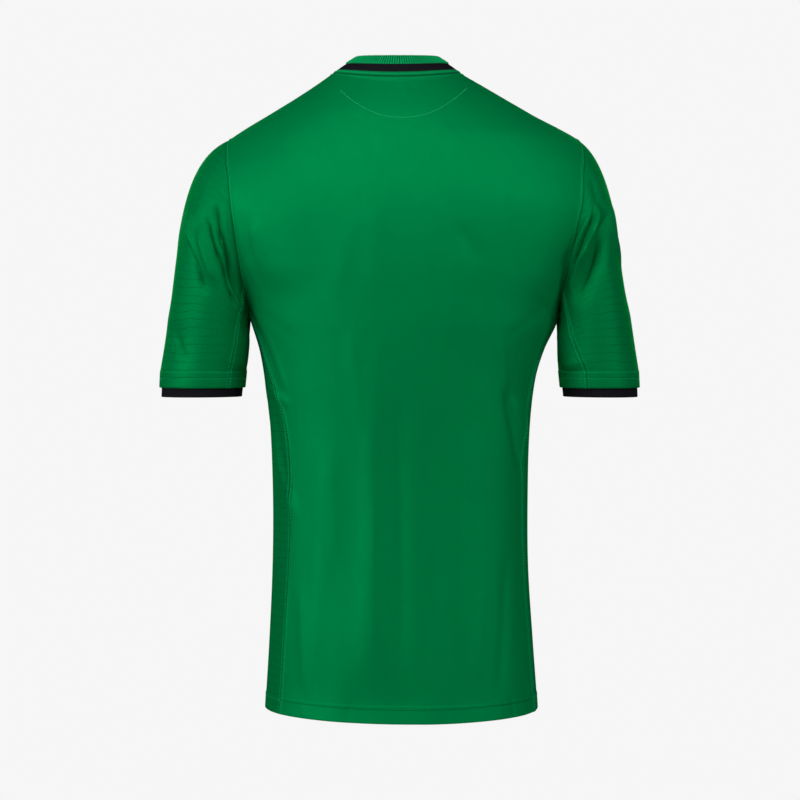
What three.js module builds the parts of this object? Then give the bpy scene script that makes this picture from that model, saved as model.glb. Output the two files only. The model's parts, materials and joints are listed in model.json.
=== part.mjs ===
// A short-sleeved football jersey of knitted polyester, open and hollow as it stands when it is worn,
// with nobody in it. Millimetres, +Z up. The front faces -Y, and +X is the wearer's left.
// The origin is in the middle of the neck, level with the highest points of the shoulders.
//
// Every piece that a maker would cut is a wall of cloth. The body's panels are patches of one body
// surface, which is a stack of rounded rings. The sleeves run from the armholes on that surface to
// their cuffs, and the collar goes on from the neck seam. Panels that are sewn together share the
// points of their seam, and each stays half of the seam gap away from it.
import * as THREE from "three";

// Thicknesses and small sizes
const CLOTH = 1.2;
const SEAM_GAP = 0.3;
const MITRE_LIMIT = 0.75; // the smallest cosine that a sharp seam is made taller for
const TURNED_HEM_EXTRA = 1.0; // the folded layer, inside the hem
const HEM_STEP = 0.5; // how far a turned hem stands proud outside
const HEM_STEP_RUN = 1.6; // the height over which it does so

// Body levels
const HEM_Z = -718;
const HEM_BAND = 17.5;
// How far the hem hangs lower at the back. lowest is an angle round the body, and fade is the
// height over which the drop dies out.
const HEM_DROP = { back: 5.8, lowest: 98, fade: 200, narrowness: 1.2 };
const ARMPIT_Z = -272;
const SHOULDER_POINT_Z = -74;

// Armhole, in degrees round the body from its side
const ARMHOLE = { back: 19, front: 22, joinAngle: 160, fuller: { left: 3, right: 1 } };
const ARMHOLE_STEPS = 12; // from the underarm join to the shoulder point
const GUSSET_STEPS = 2; // of those, the ones that the underarm gusset covers on each side

// Neck
const NECK = { halfWidth: 74.5, centreX: 3.5, backDrop: 10, frontDrop: 75, dropPower: 1.6, shoulderSeam: -8 };

// Collar, from the neck seam up: a binding strip, a dark stripe and a ribbed band. The widths are
// measured along its slope, which bulges out a little, square to the slope (lift is its upward share).
const COLLAR = { binding: 8, stripe: 12, rib: 13.5, bulge: 0.6, lift: 0.6 };
const COLLAR_CLOTH = { binding: 1.8, stripe: 1.4, rib: 1.6 };
const COLLAR_TOP = { centreX: 3, halfWidth: 46.2, back: 40, front: 75, sideZ: 20, backZ: 17.5, frontZ: -48 };
const RIBS_PER_COLUMN = 5;
const RIB_HEIGHT = 0.7;

// Sleeve end
const CUFF = { z: -355, band: 20, trimShows: 10.5, trimInside: 8, trimCloth: 1.2, backDrop: 1.5 };

// Grid sizes
const BODY_ROWS = 18; // from the hem band to the underarm
const NECK_COLUMNS = { back: 14, front: 12 };
const SHOULDER_COLUMNS = 6; // along each shoulder seam
// How late a panel's columns leave their even spread on the way up
const LATENESS = { back: 3, front: 1.2 };
const SIDE_COLUMNS = 3;
const SLEEVE_ROWS = 15;

// The body's rings. Halves are measured from a vertical line at centreX.
const RING_POWER = 2.2;
const RINGS = [
  { z: 12, halfWidth: 57, centreX: 4, back: 49, front: 38 },
  { z: 0, halfWidth: 74.5, centreX: 3.5, back: 57, front: 45 },
  { z: -13.7, halfWidth: 96, centreX: 1.4, back: 66, front: 56 },
  { z: -27.4, halfWidth: 118, centreX: 0.2, back: 75, front: 65 },
  { z: -38.8, halfWidth: 137, centreX: -0.4, back: 82, front: 72 },
  { z: -50, halfWidth: 156, centreX: -1, back: 88, front: 80 },
  { z: -61.6, halfWidth: 177, centreX: -2.6, back: 93, front: 88 },
  { z: -74, halfWidth: 197.2, centreX: -4.2, back: 98, front: 95 },
  { z: -90, halfWidth: 216, centreX: -3, back: 103, front: 102 },
  { z: -110, halfWidth: 232, centreX: -1.8, back: 109, front: 109 },
  { z: -141, halfWidth: 240, centreX: -1.8, back: 116, front: 117 },
  { z: -176, halfWidth: 228, centreX: -2, back: 119, front: 124 },
  { z: -221, halfWidth: 201, centreX: -2.4, back: 119, front: 129 },
  { z: -255, halfWidth: 182, centreX: -3.8, back: 117, front: 130 },
  { z: -284, halfWidth: 172.5, centreX: -4.4, back: 115, front: 129 },
  { z: -312, halfWidth: 161.5, centreX: -2.1, back: 112, front: 127 },
  { z: -346, halfWidth: 153.4, centreX: 0, back: 108.5, front: 125 },
  { z: -403, halfWidth: 147, centreX: 0, back: 104, front: 122 },
  { z: -483, halfWidth: 144.4, centreX: -0.4, back: 102, front: 120 },
  { z: -560, halfWidth: 145, centreX: -0.4, back: 106, front: 119 },
  { z: -643, halfWidth: 149.4, centreX: -1.2, back: 115, front: 120 },
  { z: -711, halfWidth: 153.8, centreX: -1.6, back: 124, front: 122 },
  { z: -760, halfWidth: 156, centreX: -1.6, back: 129, front: 124 },
];

// Where the side panel's two seams lie, in degrees from the side, and how far the cloth
// has turned round the body there.
const SIDE_SEAMS = [
  { z: -262, back: 6.5, front: -7.2, turn: 0 },
  { z: -320, back: 12, front: -12, turn: 1.5 },
  { z: -369, back: 18, front: -17, turn: 4 },
  { z: -430, back: 21, front: -20, turn: 5.5 },
  { z: -560, back: 20.5, front: -20, turn: 5.5 },
  { z: -730, back: 20, front: -20, turn: 5.5 },
];

// A sleeve's longitudinal lines are Bezier curves from the armhole to the ring above the hem band.
// Each row gives the arms of their control points at one of four places round the sleeve.
const SLEEVE_ARMS = {
  top: { start: [46, 0, -28], end: [-22, 0, 128] },
  back: { start: [20, 9, -48], end: [-7, 4, 60] },
  bottom: { start: [0, 0, -32], end: [-3, 0, 14] },
  front: { start: [20, -9, -48], end: [-7, -4, 60] },
};
// The two sleeves hang a little differently. turn is how far the cloth has turned round the arm
// at the cuff, and cap moves the top line's first arm out and up.
const SLEEVES = {
  left: { x: 224, y: -3, halfWidth: 48.5, halfDepth: 60, turn: 2, capOut: 17, capUp: 2 },
  right: { x: 226.4, y: -3, halfWidth: 45, halfDepth: 64, turn: 20, capOut: -4, capUp: 0 },
};
const CUFF_SHIFT = { x: 1.5, y: -1, halfWidth: -0.5, halfDepth: -0.8 }; // from that ring to the cuff

// Folds that are large enough to see from a step away. A fold is a soft ridge, or a trough where
// its height is below 0, along a straight line between two places: an angle round the body or the
// sleeve and a level z for each end. width is measured from its crest to where it has nearly gone.
const BODY_FOLDS = [
  { angle: 74, z: -345, toAngle: 71, toZ: -690, width: 30, height: 3.4 },
  { angle: 89, z: -360, toAngle: 88, toZ: -700, width: 30, height: -2.6 },
  { angle: 46, z: -410, toAngle: 43, toZ: -680, width: 28, height: 2.4 },
  { angle: 119, z: -430, toAngle: 124, toZ: -670, width: 34, height: 1.6 },
  { angle: 67, z: -165, toAngle: 58, toZ: -246, width: 20, height: 2 },
  { angle: 50, z: -200, toAngle: 57, toZ: -232, width: 14, height: -1.6 },
  { angle: 119, z: -180, toAngle: 127, toZ: -215, width: 16, height: -1.4 },
  { angle: 12, z: -352, toAngle: 28, toZ: -374, width: 11, height: 2.2 },
  { angle: 13, z: -420, toAngle: 31, toZ: -500, width: 11, height: 2 },
  { angle: 148, z: -352, toAngle: 161, toZ: -448, width: 12, height: -2.6 },
  { angle: 158, z: -368, toAngle: 168, toZ: -415, width: 9, height: 2 },
  { angle: 161, z: -262, toAngle: 143, toZ: -300, width: 13, height: -2.2 },
  { angle: 18, z: -268, toAngle: 36, toZ: -304, width: 12, height: -1.8 },
  { angle: -22, z: -250, toAngle: -52, toZ: -292, width: 15, height: -2.6 },
  { angle: -158, z: -252, toAngle: -131, toZ: -300, width: 15, height: -2.8 },
  { angle: -66, z: -300, toAngle: -72, toZ: -560, width: 32, height: 2.6 },
  { angle: -112, z: -330, toAngle: -106, toZ: -640, width: 32, height: 3 },
  { angle: -90, z: -420, toAngle: -91, toZ: -690, width: 26, height: -2.2 },
  { angle: -34, z: -350, toAngle: -25, toZ: -430, width: 13, height: 2.2 },
  { angle: -146, z: -360, toAngle: -157, toZ: -430, width: 13, height: 2.2 },
];
const SLEEVE_FOLDS = {
  left: [
    { angle: 45, z: -176, toAngle: 76, toZ: -234, width: 11, height: 2 },
    { angle: 62, z: -160, toAngle: 120, toZ: -242, width: 12, height: -3.2 },
    { angle: 76, z: -156, toAngle: 136, toZ: -240, width: 9, height: 2.2 },
    { angle: 50, z: -300, toAngle: 76, toZ: -328, width: 9, height: -1.8 },
    { angle: 296, z: -165, toAngle: 238, toZ: -245, width: 13, height: -3 },
    { angle: 310, z: -180, toAngle: 282, toZ: -240, width: 11, height: 2 },
    { angle: 300, z: -290, toAngle: 268, toZ: -322, width: 10, height: -1.8 },
  ],
  right: [
    { angle: 58, z: -154, toAngle: 112, toZ: -236, width: 9, height: 2.2 },
    { angle: 76, z: -172, toAngle: 126, toZ: -230, width: 9, height: 2.2 },
    { angle: 52, z: -166, toAngle: 106, toZ: -258, width: 12, height: -3.4 },
    { angle: 34, z: -142, toAngle: 27, toZ: -214, width: 10, height: 1.8 },
    { angle: 292, z: -160, toAngle: 236, toZ: -240, width: 13, height: -3 },
    { angle: 312, z: -176, toAngle: 280, toZ: -236, width: 11, height: 2 },
    { angle: 284, z: -292, toAngle: 256, toZ: -322, width: 10, height: -1.8 },
  ],
};
const FOLD_RADIUS = { body: 130, sleeve: 55 }; // turns degrees into millimetres round each
const FOLD_END = { past: 0.15, fade: 0.4 }; // where a fold ends and how it fades, as shares of its length
const FOLD_FREE_ENDS = 1 / 8; // the share of a sleeve at its armhole and its hem where its folds die out

const radians = THREE.MathUtils.degToRad;
const clamp = THREE.MathUtils.clamp;
const lerp = THREE.MathUtils.lerp;

function range(count, make) {
  return Array.from({ length: count }, (_, i) => make(i));
}

// The same direction within the full turn that begins at from.
function wrapped(degrees, from) {
  return THREE.MathUtils.euclideanModulo(degrees - from, 360) + from;
}

// A smooth curve through one column of a table whose rows are in order of z, either way.
function tableAt(rows, z, column) {
  const falling = rows[0].z > rows.at(-1).z;
  const ordered = falling ? [...rows].reverse() : rows;
  const at = clamp(z, ordered[0].z, ordered.at(-1).z);
  let i = ordered.findIndex((row) => row.z >= at) - 1;
  i = clamp(i, 0, ordered.length - 2);
  const slope = (k) => {
    const low = ordered[Math.max(k - 1, 0)];
    const high = ordered[Math.min(k + 1, ordered.length - 1)];
    return (high[column] - low[column]) / (high.z - low.z);
  };
  const [a, b] = [ordered[i], ordered[i + 1]];
  const span = b.z - a.z;
  const t = (at - a.z) / span;
  const t2 = t * t;
  const t3 = t2 * t;
  return (
    (2 * t3 - 3 * t2 + 1) * a[column] +
    (t3 - 2 * t2 + t) * span * slope(i) +
    (3 * t2 - 2 * t3) * b[column] +
    (t3 - t2) * span * slope(i + 1)
  );
}

// The height of all folds of a table at one place.
function foldHeight(folds, degrees, z, radius) {
  const perDegree = radians(1) * radius;
  let height = 0;
  for (const fold of folds) {
    const run = (fold.toAngle - fold.angle) * perDegree;
    const fall = fold.toZ - fold.z;
    const length = Math.hypot(run, fall);
    const offX = (degrees - fold.angle) * perDegree;
    const offZ = z - fold.z;
    const along = (offX * run + offZ * fall) / length ** 2;
    const across = (offX * fall - offZ * run) / length / (fold.width / 2);
    height += fold.height * Math.exp(-across * across) * endFade(along);
  }
  return height;
}

// Full along the middle of a fold and gone a little past its ends.
function endFade(along) {
  const inside = clamp((0.5 + FOLD_END.past - Math.abs(along - 0.5)) / FOLD_END.fade, 0, 1);
  return inside * inside * (3 - 2 * inside);
}

// A point of the body surface, by its direction round the body and its height.
function bodyPoint(degrees, z) {
  const c = Math.cos(radians(degrees));
  const s = Math.sin(radians(degrees));
  const depth = tableAt(RINGS, z, s > 0 ? "back" : "front");
  const width = tableAt(RINGS, z, "halfWidth");
  const sum = Math.abs(c / width) ** RING_POWER + Math.abs(s / depth) ** RING_POWER;
  const turn = wrapped(degrees, -180);
  const reach = sum ** (-1 / RING_POWER) + foldHeight(BODY_FOLDS, turn, z, FOLD_RADIUS.body);
  return new THREE.Vector3(tableAt(RINGS, z, "centreX") + reach * c, reach * s, z);
}

// The outward normal of a surface given as a function of two numbers.
function normalOf(surface, a, b, stepA, stepB) {
  const da = surface(a + stepA, b).sub(surface(a - stepA, b));
  const db = surface(a, b + stepB).sub(surface(a, b - stepB));
  return da.cross(db).normalize();
}

const bodyNormal = (degrees, z) => normalOf(bodyPoint, degrees, z, 0.5, 1);

// A place on the armhole of one side, by its angle from the shoulder point: 90 is at the back,
// 180 at the underarm and 270 at the front.
function armholeAt(side, angle) {
  const middle = (SHOULDER_POINT_Z + ARMPIT_Z) / 2;
  const rise = (SHOULDER_POINT_Z - ARMPIT_Z) / 2;
  const s = Math.sin(radians(angle));
  const fuller = ARMHOLE.fuller[side > 0 ? "left" : "right"] * (1 + Math.cos(radians(angle)));
  const degrees = s * (s > 0 ? ARMHOLE.back + fuller : ARMHOLE.front);
  return { degrees: side > 0 ? degrees : 180 - degrees, z: middle + rise * Math.cos(radians(angle)) };
}

// A place on the neck seam, by its angle seen from above: 90 is at the back.
function neckAt(angle) {
  const c = Math.cos(radians(angle));
  const s = Math.sin(radians(angle));
  const drop = s > 0 ? NECK.backDrop : NECK.frontDrop;
  const z = -drop * Math.abs(s) ** NECK.dropPower;
  const x = NECK.centreX + NECK.halfWidth * c - tableAt(RINGS, z, "centreX");
  const share = clamp(Math.abs(x) / tableAt(RINGS, z, "halfWidth"), 0, 1);
  const depth = tableAt(RINGS, z, s > 0 ? "back" : "front");
  const y = Math.sign(s) * depth * (1 - share ** RING_POWER) ** (1 / RING_POWER);
  const degrees = THREE.MathUtils.radToDeg(Math.atan2(y, x));
  return { degrees, z };
}

// The sleeve surface of one side. angle is as on the armhole, and t runs from 0 at the armhole
// to 1 at the ring above the hem band, then on to 2 at the cuff.
function sleevePoint(side, angle, t) {
  const place = armholeAt(side, angle);
  const start = bodyPoint(place.degrees, place.z);
  const shape = SLEEVES[side > 0 ? "left" : "right"];
  const turned = radians(angle - shape.turn * Math.min(t, 1));
  const [c, s] = [Math.cos(turned), Math.sin(turned)];
  const around = (shift, z) => {
    const x = shape.x + shift * CUFF_SHIFT.x + (shape.halfWidth + shift * CUFF_SHIFT.halfWidth) * c;
    const y = shape.y + shift * CUFF_SHIFT.y + (shape.halfDepth + shift * CUFF_SHIFT.halfDepth) * s;
    return new THREE.Vector3(side * x, y, z - CUFF.backDrop * s);
  };
  const end = around(0, CUFF.z + CUFF.band);
  if (t > 1) return end.lerp(around(1, CUFF.z), t - 1);
  const top = (1 + Math.cos(radians(angle))) / 2;
  const cap = new THREE.Vector3(side * shape.capOut, 0, shape.capUp).multiplyScalar(top ** 2);
  const armOne = start.clone().add(sleeveArm(side, angle, "start")).add(cap);
  const armTwo = end.clone().add(sleeveArm(side, angle, "end"));
  return new THREE.CubicBezierCurve3(start, armOne, armTwo, end).getPoint(t);
}

// Blends a control arm smoothly round the sleeve from its four named places.
function sleeveArm(side, angle, which) {
  const c = Math.cos(radians(angle));
  const s = Math.sin(radians(angle));
  const doubled = Math.cos(radians(2 * angle));
  const value = (k) => {
    const [top, back, bottom, front] = ["top", "back", "bottom", "front"].map((n) => SLEEVE_ARMS[n][which][k]);
    const mean = (top + back + bottom + front) / 4;
    return mean + ((top - bottom) / 2) * c + ((back - front) / 2) * s + ((top + bottom - back - front) / 4) * doubled;
  };
  return new THREE.Vector3(side * value(0), value(1), value(2));
}

// The sleeve with its folds.
function foldedSleevePoint(side, angle, t) {
  const point = sleevePoint(side, angle, t);
  const folds = SLEEVE_FOLDS[side > 0 ? "left" : "right"];
  if (t <= 0 || t >= 1) return point;
  const height = foldHeight(folds, angle, point.z, FOLD_RADIUS.sleeve);
  const bare = normalOf((a, b) => sleevePoint(side, a, b), angle, t, 0.5, 0.01).multiplyScalar(-side);
  return point.addScaledVector(bare, height * Math.min(1, t / FOLD_FREE_ENDS, (1 - t) / FOLD_FREE_ENDS));
}

function sleeveNormal(side, angle, t) {
  const low = Math.max(t, 0.005);
  return normalOf((a, b) => foldedSleevePoint(side, a, b), angle, low, 0.5, 0.004).multiplyScalar(-side);
}

// The collar surface, from 0 at the neck seam to 1 at the collar's top edge.
function collarPoint(angle, share) {
  const place = neckAt(angle);
  const seam = bodyPoint(place.degrees, place.z);
  const c = Math.cos(radians(angle));
  const s = Math.sin(radians(angle));
  const depth = s > 0 ? COLLAR_TOP.back : COLLAR_TOP.front;
  const rise = lerp(COLLAR_TOP.sideZ, s > 0 ? COLLAR_TOP.backZ : COLLAR_TOP.frontZ, Math.abs(s) ** NECK.dropPower);
  const top = new THREE.Vector3(COLLAR_TOP.centreX + COLLAR_TOP.halfWidth * c, depth * s, rise);
  const out = new THREE.Vector3(c / COLLAR_TOP.halfWidth, s / depth, COLLAR.lift / depth).normalize();
  return seam.lerp(top, share).addScaledVector(out, COLLAR.bulge * 4 * share * (1 - share));
}

const collarNormal = (angle, share) => normalOf(collarPoint, angle, share, 0.5, 0.02);

// A grid point: its place in the middle of the wall, the way the wall faces, and how far the wall
// reaches out and in from it.
function cell(point, normal, outer = CLOTH / 2, inner = CLOTH / 2) {
  return { point, normal, outer, inner };
}

// Where two pieces meet at an angle, both edges stand along the mean of their normals and are
// taller by the same share, so that the two faces of the seam are parallel.
function mitred(point, normal, other, outer = CLOTH / 2, inner = CLOTH / 2) {
  const mean = normal.clone().add(other).normalize();
  const taller = 1 / Math.max(mean.dot(normal), MITRE_LIMIT);
  return cell(point, mean, outer * taller, inner * taller);
}

// The edge of a grid as a loop of its cells, each once.
function edgeLoop(grid) {
  const last = grid.length - 1;
  const width = grid[0].length - 1;
  return [
    ...range(width, (i) => [0, i]),
    ...range(last, (j) => [j, width]),
    ...range(width, (i) => [last, width - i]),
    ...range(last, (j) => [last - j, 0]),
  ];
}

// Moves the edge of an open grid in by half the seam gap, square to the seam.
function drawInEdges(grid) {
  const loop = edgeLoop(grid).map(([j, i]) => grid[j][i]);
  const count = loop.length;
  const sense = facing(grid);
  const inward = loop.map((a, k) => {
    const b = loop[(k + 1) % count];
    const along = b.point.clone().sub(a.point).normalize();
    const normal = a.normal.clone().add(b.normal).normalize();
    return normal.cross(along).multiplyScalar(sense).normalize();
  });
  const moves = loop.map((_, k) => {
    const before = inward[(k + count - 1) % count];
    const after = inward[k];
    return before.clone().add(after).multiplyScalar(SEAM_GAP / 2 / (1 + before.dot(after)));
  });
  loop.forEach((c, k) => c.point.add(moves[k]));
}

// 1 where a grid's columns and rows turn the same way as its normals, otherwise -1.
function facing(grid) {
  const j = grid.length >> 1;
  const i = Math.min(grid[0].length >> 1, grid[0].length - 2);
  const [a, b, c] = [grid[j - 1][i].point, grid[j - 1][i + 1].point, grid[j][i].point];
  return Math.sign(b.clone().sub(a).cross(c.clone().sub(a)).dot(grid[j - 1][i].normal));
}

// A closed wall from a grid of cells. A closed grid joins its last column to its first.
function wall(name, grid, material, closed = false) {
  const rows = grid.length;
  const columns = grid[0].length;
  const positions = [];
  for (const sign of [1, -1])
    for (const row of grid)
      for (const c of row) {
        const reach = sign > 0 ? c.outer : -c.inner;
        positions.push(...c.point.clone().addScaledVector(c.normal, reach).toArray());
      }
  const index = [];
  const flip = facing(grid) < 0;
  const quad = (a, b, c, d) => index.push(...(flip ? [a, c, b, a, d, c] : [a, b, c, a, c, d]));
  const outside = (j, i) => j * columns + (i % columns);
  const inside = (j, i) => rows * columns + outside(j, i);
  const spans = closed ? columns : columns - 1;
  for (let j = 0; j < rows - 1; j++)
    for (let i = 0; i < spans; i++) {
      quad(outside(j, i), outside(j, i + 1), outside(j + 1, i + 1), outside(j + 1, i));
      quad(inside(j, i), inside(j + 1, i), inside(j + 1, i + 1), inside(j, i + 1));
    }
  for (let i = 0; i < spans; i++) {
    quad(inside(0, i), inside(0, i + 1), outside(0, i + 1), outside(0, i));
    quad(outside(rows - 1, i), outside(rows - 1, i + 1), inside(rows - 1, i + 1), inside(rows - 1, i));
  }
  if (!closed)
    for (let j = 0; j < rows - 1; j++) {
      quad(outside(j, 0), outside(j + 1, 0), inside(j + 1, 0), inside(j, 0));
      quad(outside(j, spans), inside(j, spans), inside(j + 1, spans), outside(j + 1, spans));
    }
  return meshFrom(name, positions, index, material);
}

function meshFrom(name, positions, index, material) {
  const geometry = new THREE.BufferGeometry();
  geometry.setAttribute("position", new THREE.Float32BufferAttribute(positions, 3));
  geometry.setIndex(index);
  const mesh = new THREE.Mesh(geometry, material);
  mesh.name = name;
  return mesh;
}

// The rows that the front and the back share, from the hem to the top. Up to the underarm their
// ends are on the side seams, and above it they are on the armholes. share is how far a row is
// from the underarm to the top seam.
function bodyLevels() {
  const bandTop = HEM_Z + HEM_BAND;
  const underarm = armholeAt(1, ARMHOLE.joinAngle).z;
  const hem = [{ z: HEM_Z, turned: 1 }, { z: bandTop, turned: 1 }];
  const body = range(BODY_ROWS, (k) => ({ z: lerp(bandTop + HEM_STEP_RUN, underarm, k / BODY_ROWS), turned: 0 }));
  const arm = range(ARMHOLE_STEPS + 1, (k) => {
    const angle = ARMHOLE.joinAngle * (1 - k / ARMHOLE_STEPS);
    return { z: armholeAt(1, angle).z, turned: 0, angle, share: k / ARMHOLE_STEPS };
  });
  return [...hem, ...body, ...arm];
}

// Keeps the angles of a panel in one run, from the left side through its middle to the right side.
function unwrapped(degrees, face) {
  if (face === "back" && degrees < -90) return degrees + 360;
  if (face === "front" && degrees > 90) return degrees - 360;
  return degrees;
}

// Where a panel's side seam lies at one height. face is "back" or "front", side is 1 or -1.
function sideSeamAt(z, face, side) {
  const seam = tableAt(SIDE_SEAMS, z, face);
  const turn = tableAt(SIDE_SEAMS, z, "turn");
  return { degrees: unwrapped(side > 0 ? seam + turn : 180 - seam + turn, face), z };
}

function armholeEdge(angle, face, side) {
  const place = armholeAt(side, face === "back" ? angle : 360 - angle);
  return { degrees: unwrapped(place.degrees, face), z: place.z };
}

// How far the hem hangs below its level at the back, fading out up the body.
function hemDrop(degrees, z) {
  const share = clamp(1 - (z - HEM_Z) / HEM_DROP.fade, 0, 1);
  const nearness = Math.max(0, Math.cos(radians(degrees - HEM_DROP.lowest)));
  return HEM_DROP.back * nearness ** HEM_DROP.narrowness * share;
}

// One cell of the body at a place, thicker where the hem is turned up.
function bodyCell(degrees, z, turned) {
  const place = z - hemDrop(degrees, z);
  const outer = CLOTH / 2 + HEM_STEP * turned;
  const inner = CLOTH / 2 + TURNED_HEM_EXTRA * turned;
  return cell(bodyPoint(degrees, place), bodyNormal(degrees, place), outer, inner);
}

// The seam cell where the body meets a sleeve.
function armholeSeam(side, angle) {
  const place = armholeAt(side, angle);
  const point = bodyPoint(place.degrees, place.z);
  return mitred(point, bodyNormal(place.degrees, place.z), sleeveNormal(side, angle, 0));
}

// The seam cell where the body meets the collar.
function neckSeam(angle, outer = CLOTH / 2, inner = CLOTH / 2) {
  const place = neckAt(angle);
  const point = bodyPoint(place.degrees, place.z);
  return mitred(point, bodyNormal(place.degrees, place.z), collarNormal(angle, 0.05), outer, inner);
}

// The neck seam's angles along the top of a panel.
function neckAngles(face) {
  const end = face === "back" ? 180 - NECK.shoulderSeam : -180 - NECK.shoulderSeam;
  return range(NECK_COLUMNS[face] + 1, (i) => lerp(NECK.shoulderSeam, end, i / NECK_COLUMNS[face]));
}

// The top seam of a panel: up the left shoulder, round the neck and down the right shoulder.
function topSeam(face) {
  const neck = neckAngles(face).map((neckAngle) => {
    const place = neckAt(neckAngle);
    return { degrees: unwrapped(place.degrees, face), z: place.z, neckAngle };
  });
  const shoulder = (side, corner) =>
    range(SHOULDER_COLUMNS, (k) => between(armholeEdge(0, face, side), corner, k / SHOULDER_COLUMNS));
  return [...shoulder(1, neck[0]), ...neck, ...shoulder(-1, neck.at(-1)).reverse()];
}

function between(a, b, share) {
  return { degrees: lerp(a.degrees, b.degrees, share), z: lerp(a.z, b.z, share) };
}

// A place on the upper part of a panel, which fills the space between the underarm line, the two
// armholes and the top seam. The columns stay evenly spread round the body until they near the top.
function upperPlace(face, angle, across, up, above) {
  const late = up ** LATENESS[face];
  const blend = (a, b) => ({ degrees: lerp(a.degrees, b.degrees, late), z: lerp(a.z, b.z, up) });
  const underarm = (side) => armholeEdge(ARMHOLE.joinAngle, face, side);
  const straight = blend(between(underarm(1), underarm(-1), across), above);
  const bends = [1, -1].map((side) => {
    const edge = armholeEdge(angle, face, side);
    const plain = blend(underarm(side), armholeEdge(0, face, side));
    return { degrees: edge.degrees - plain.degrees, z: edge.z - plain.z };
  });
  const bend = between(...bends, across);
  return { degrees: straight.degrees + bend.degrees, z: straight.z + bend.z };
}

// The front or back of the body, from the left side (+X) to the right.
function bodyPanel(face) {
  const top = topSeam(face);
  const last = top.length - 1;
  return bodyLevels().map((level) =>
    top.map((above, i) => {
      const across = i / last;
      if (level.share === undefined) {
        const place = between(sideSeamAt(level.z, face, 1), sideSeamAt(level.z, face, -1), across);
        return bodyCell(place.degrees, place.z, level.turned);
      }
      if (i === 0 || i === last) return armholeSeam(i ? -1 : 1, face === "back" ? level.angle : 360 - level.angle);
      if (level.share === 1 && above.neckAngle !== undefined) return neckSeam(above.neckAngle);
      const place = upperPlace(face, level.angle, across, level.share, above);
      return bodyCell(place.degrees, place.z, level.turned);
    }),
  );
}

// A side panel, from its front seam to its back seam.
function sidePanel(side) {
  const levels = bodyLevels().filter((level) => !level.share);
  const under = 180 - ARMHOLE.joinAngle;
  return levels.map((level) =>
    range(SIDE_COLUMNS + 1, (i) => {
      const across = i / SIDE_COLUMNS;
      if (level.share === 0) return armholeSeam(side, lerp(180 + under, 180 - under, across));
      const edge = (face) => wrapped(sideSeamAt(level.z, face, side).degrees, -90);
      return bodyCell(lerp(edge("front"), edge("back"), across), level.z, level.turned);
    }),
  );
}

// The rows of a sleeve: the open cloth, then the turned hem down to the cuff.
function sleeveRows() {
  const step = HEM_STEP_RUN / CUFF.band;
  const open = range(SLEEVE_ROWS + 1, (k) => ({ t: k / SLEEVE_ROWS, turned: 0 }));
  return [...open, { t: 1 + step, turned: 1 }, { t: 2, turned: 1 }];
}

function sleevePatch(side, angles) {
  return sleeveRows().map((row) =>
    angles.map((angle) => {
      if (row.t === 0) return armholeSeam(side, angle);
      const outer = CLOTH / 2 + HEM_STEP * row.turned;
      const inner = CLOTH / 2 + TURNED_HEM_EXTRA * row.turned;
      return cell(foldedSleevePoint(side, angle, row.t), sleeveNormal(side, angle, row.t), outer, inner);
    }),
  );
}

// The angles round a sleeve of its main piece and of its underarm gusset.
function sleeveAngles() {
  const step = ARMHOLE.joinAngle / ARMHOLE_STEPS;
  const main = ARMHOLE_STEPS - GUSSET_STEPS;
  const under = GUSSET_STEPS * 2 + SIDE_COLUMNS;
  const gussetStart = main * step;
  const sideStep = (2 * (180 - ARMHOLE.joinAngle)) / SIDE_COLUMNS;
  const gusset = range(under + 1, (i) => {
    const inSide = clamp(i - GUSSET_STEPS, 0, SIDE_COLUMNS);
    return gussetStart + (i - inSide) * step + inSide * sideStep;
  });
  return { main: range(2 * main + 1, (i) => (i - main) * step), gusset };
}

// The dark trim inside the end of a sleeve, standing out below it.
function cuffTrim(side) {
  const angles = sleeveAngles();
  const round = [...angles.main.slice(0, -1), ...angles.gusset.slice(0, -1)];
  const inset = CLOTH / 2 + TURNED_HEM_EXTRA + SEAM_GAP + CUFF.trimCloth / 2;
  const ends = [2 - CUFF.trimInside / CUFF.band, 2 + CUFF.trimShows / CUFF.band];
  return ends.map((t) =>
    round.map((angle) => {
      const normal = sleeveNormal(side, angle, 1.5);
      const point = sleevePoint(side, angle, t).addScaledVector(normal, -inset);
      return cell(point, normal, CUFF.trimCloth / 2, CUFF.trimCloth / 2);
    }),
  );
}

// The angles of the whole neck seam, once round.
function collarAngles() {
  return [...neckAngles("back").slice(0, -1), ...neckAngles("front").map((a) => a + 360).reverse().slice(0, -1)];
}

// A band of the collar between two distances from the neck seam.
function collarBand(from, to, thick) {
  const width = COLLAR.binding + COLLAR.stripe + COLLAR.rib;
  const gap = SEAM_GAP / 2;
  return [from + gap, to - gap].map((out) =>
    collarAngles().map((angle) => {
      const share = out / width;
      if (out > gap) return cell(collarPoint(angle, share), collarNormal(angle, share), thick / 2, thick / 2);
      const seam = neckSeam(angle, thick / 2, thick / 2);
      const inward = collarPoint(angle, share).sub(collarPoint(angle, 0)).normalize();
      seam.point.addScaledVector(inward, gap);
      return seam;
    }),
  );
}

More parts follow.
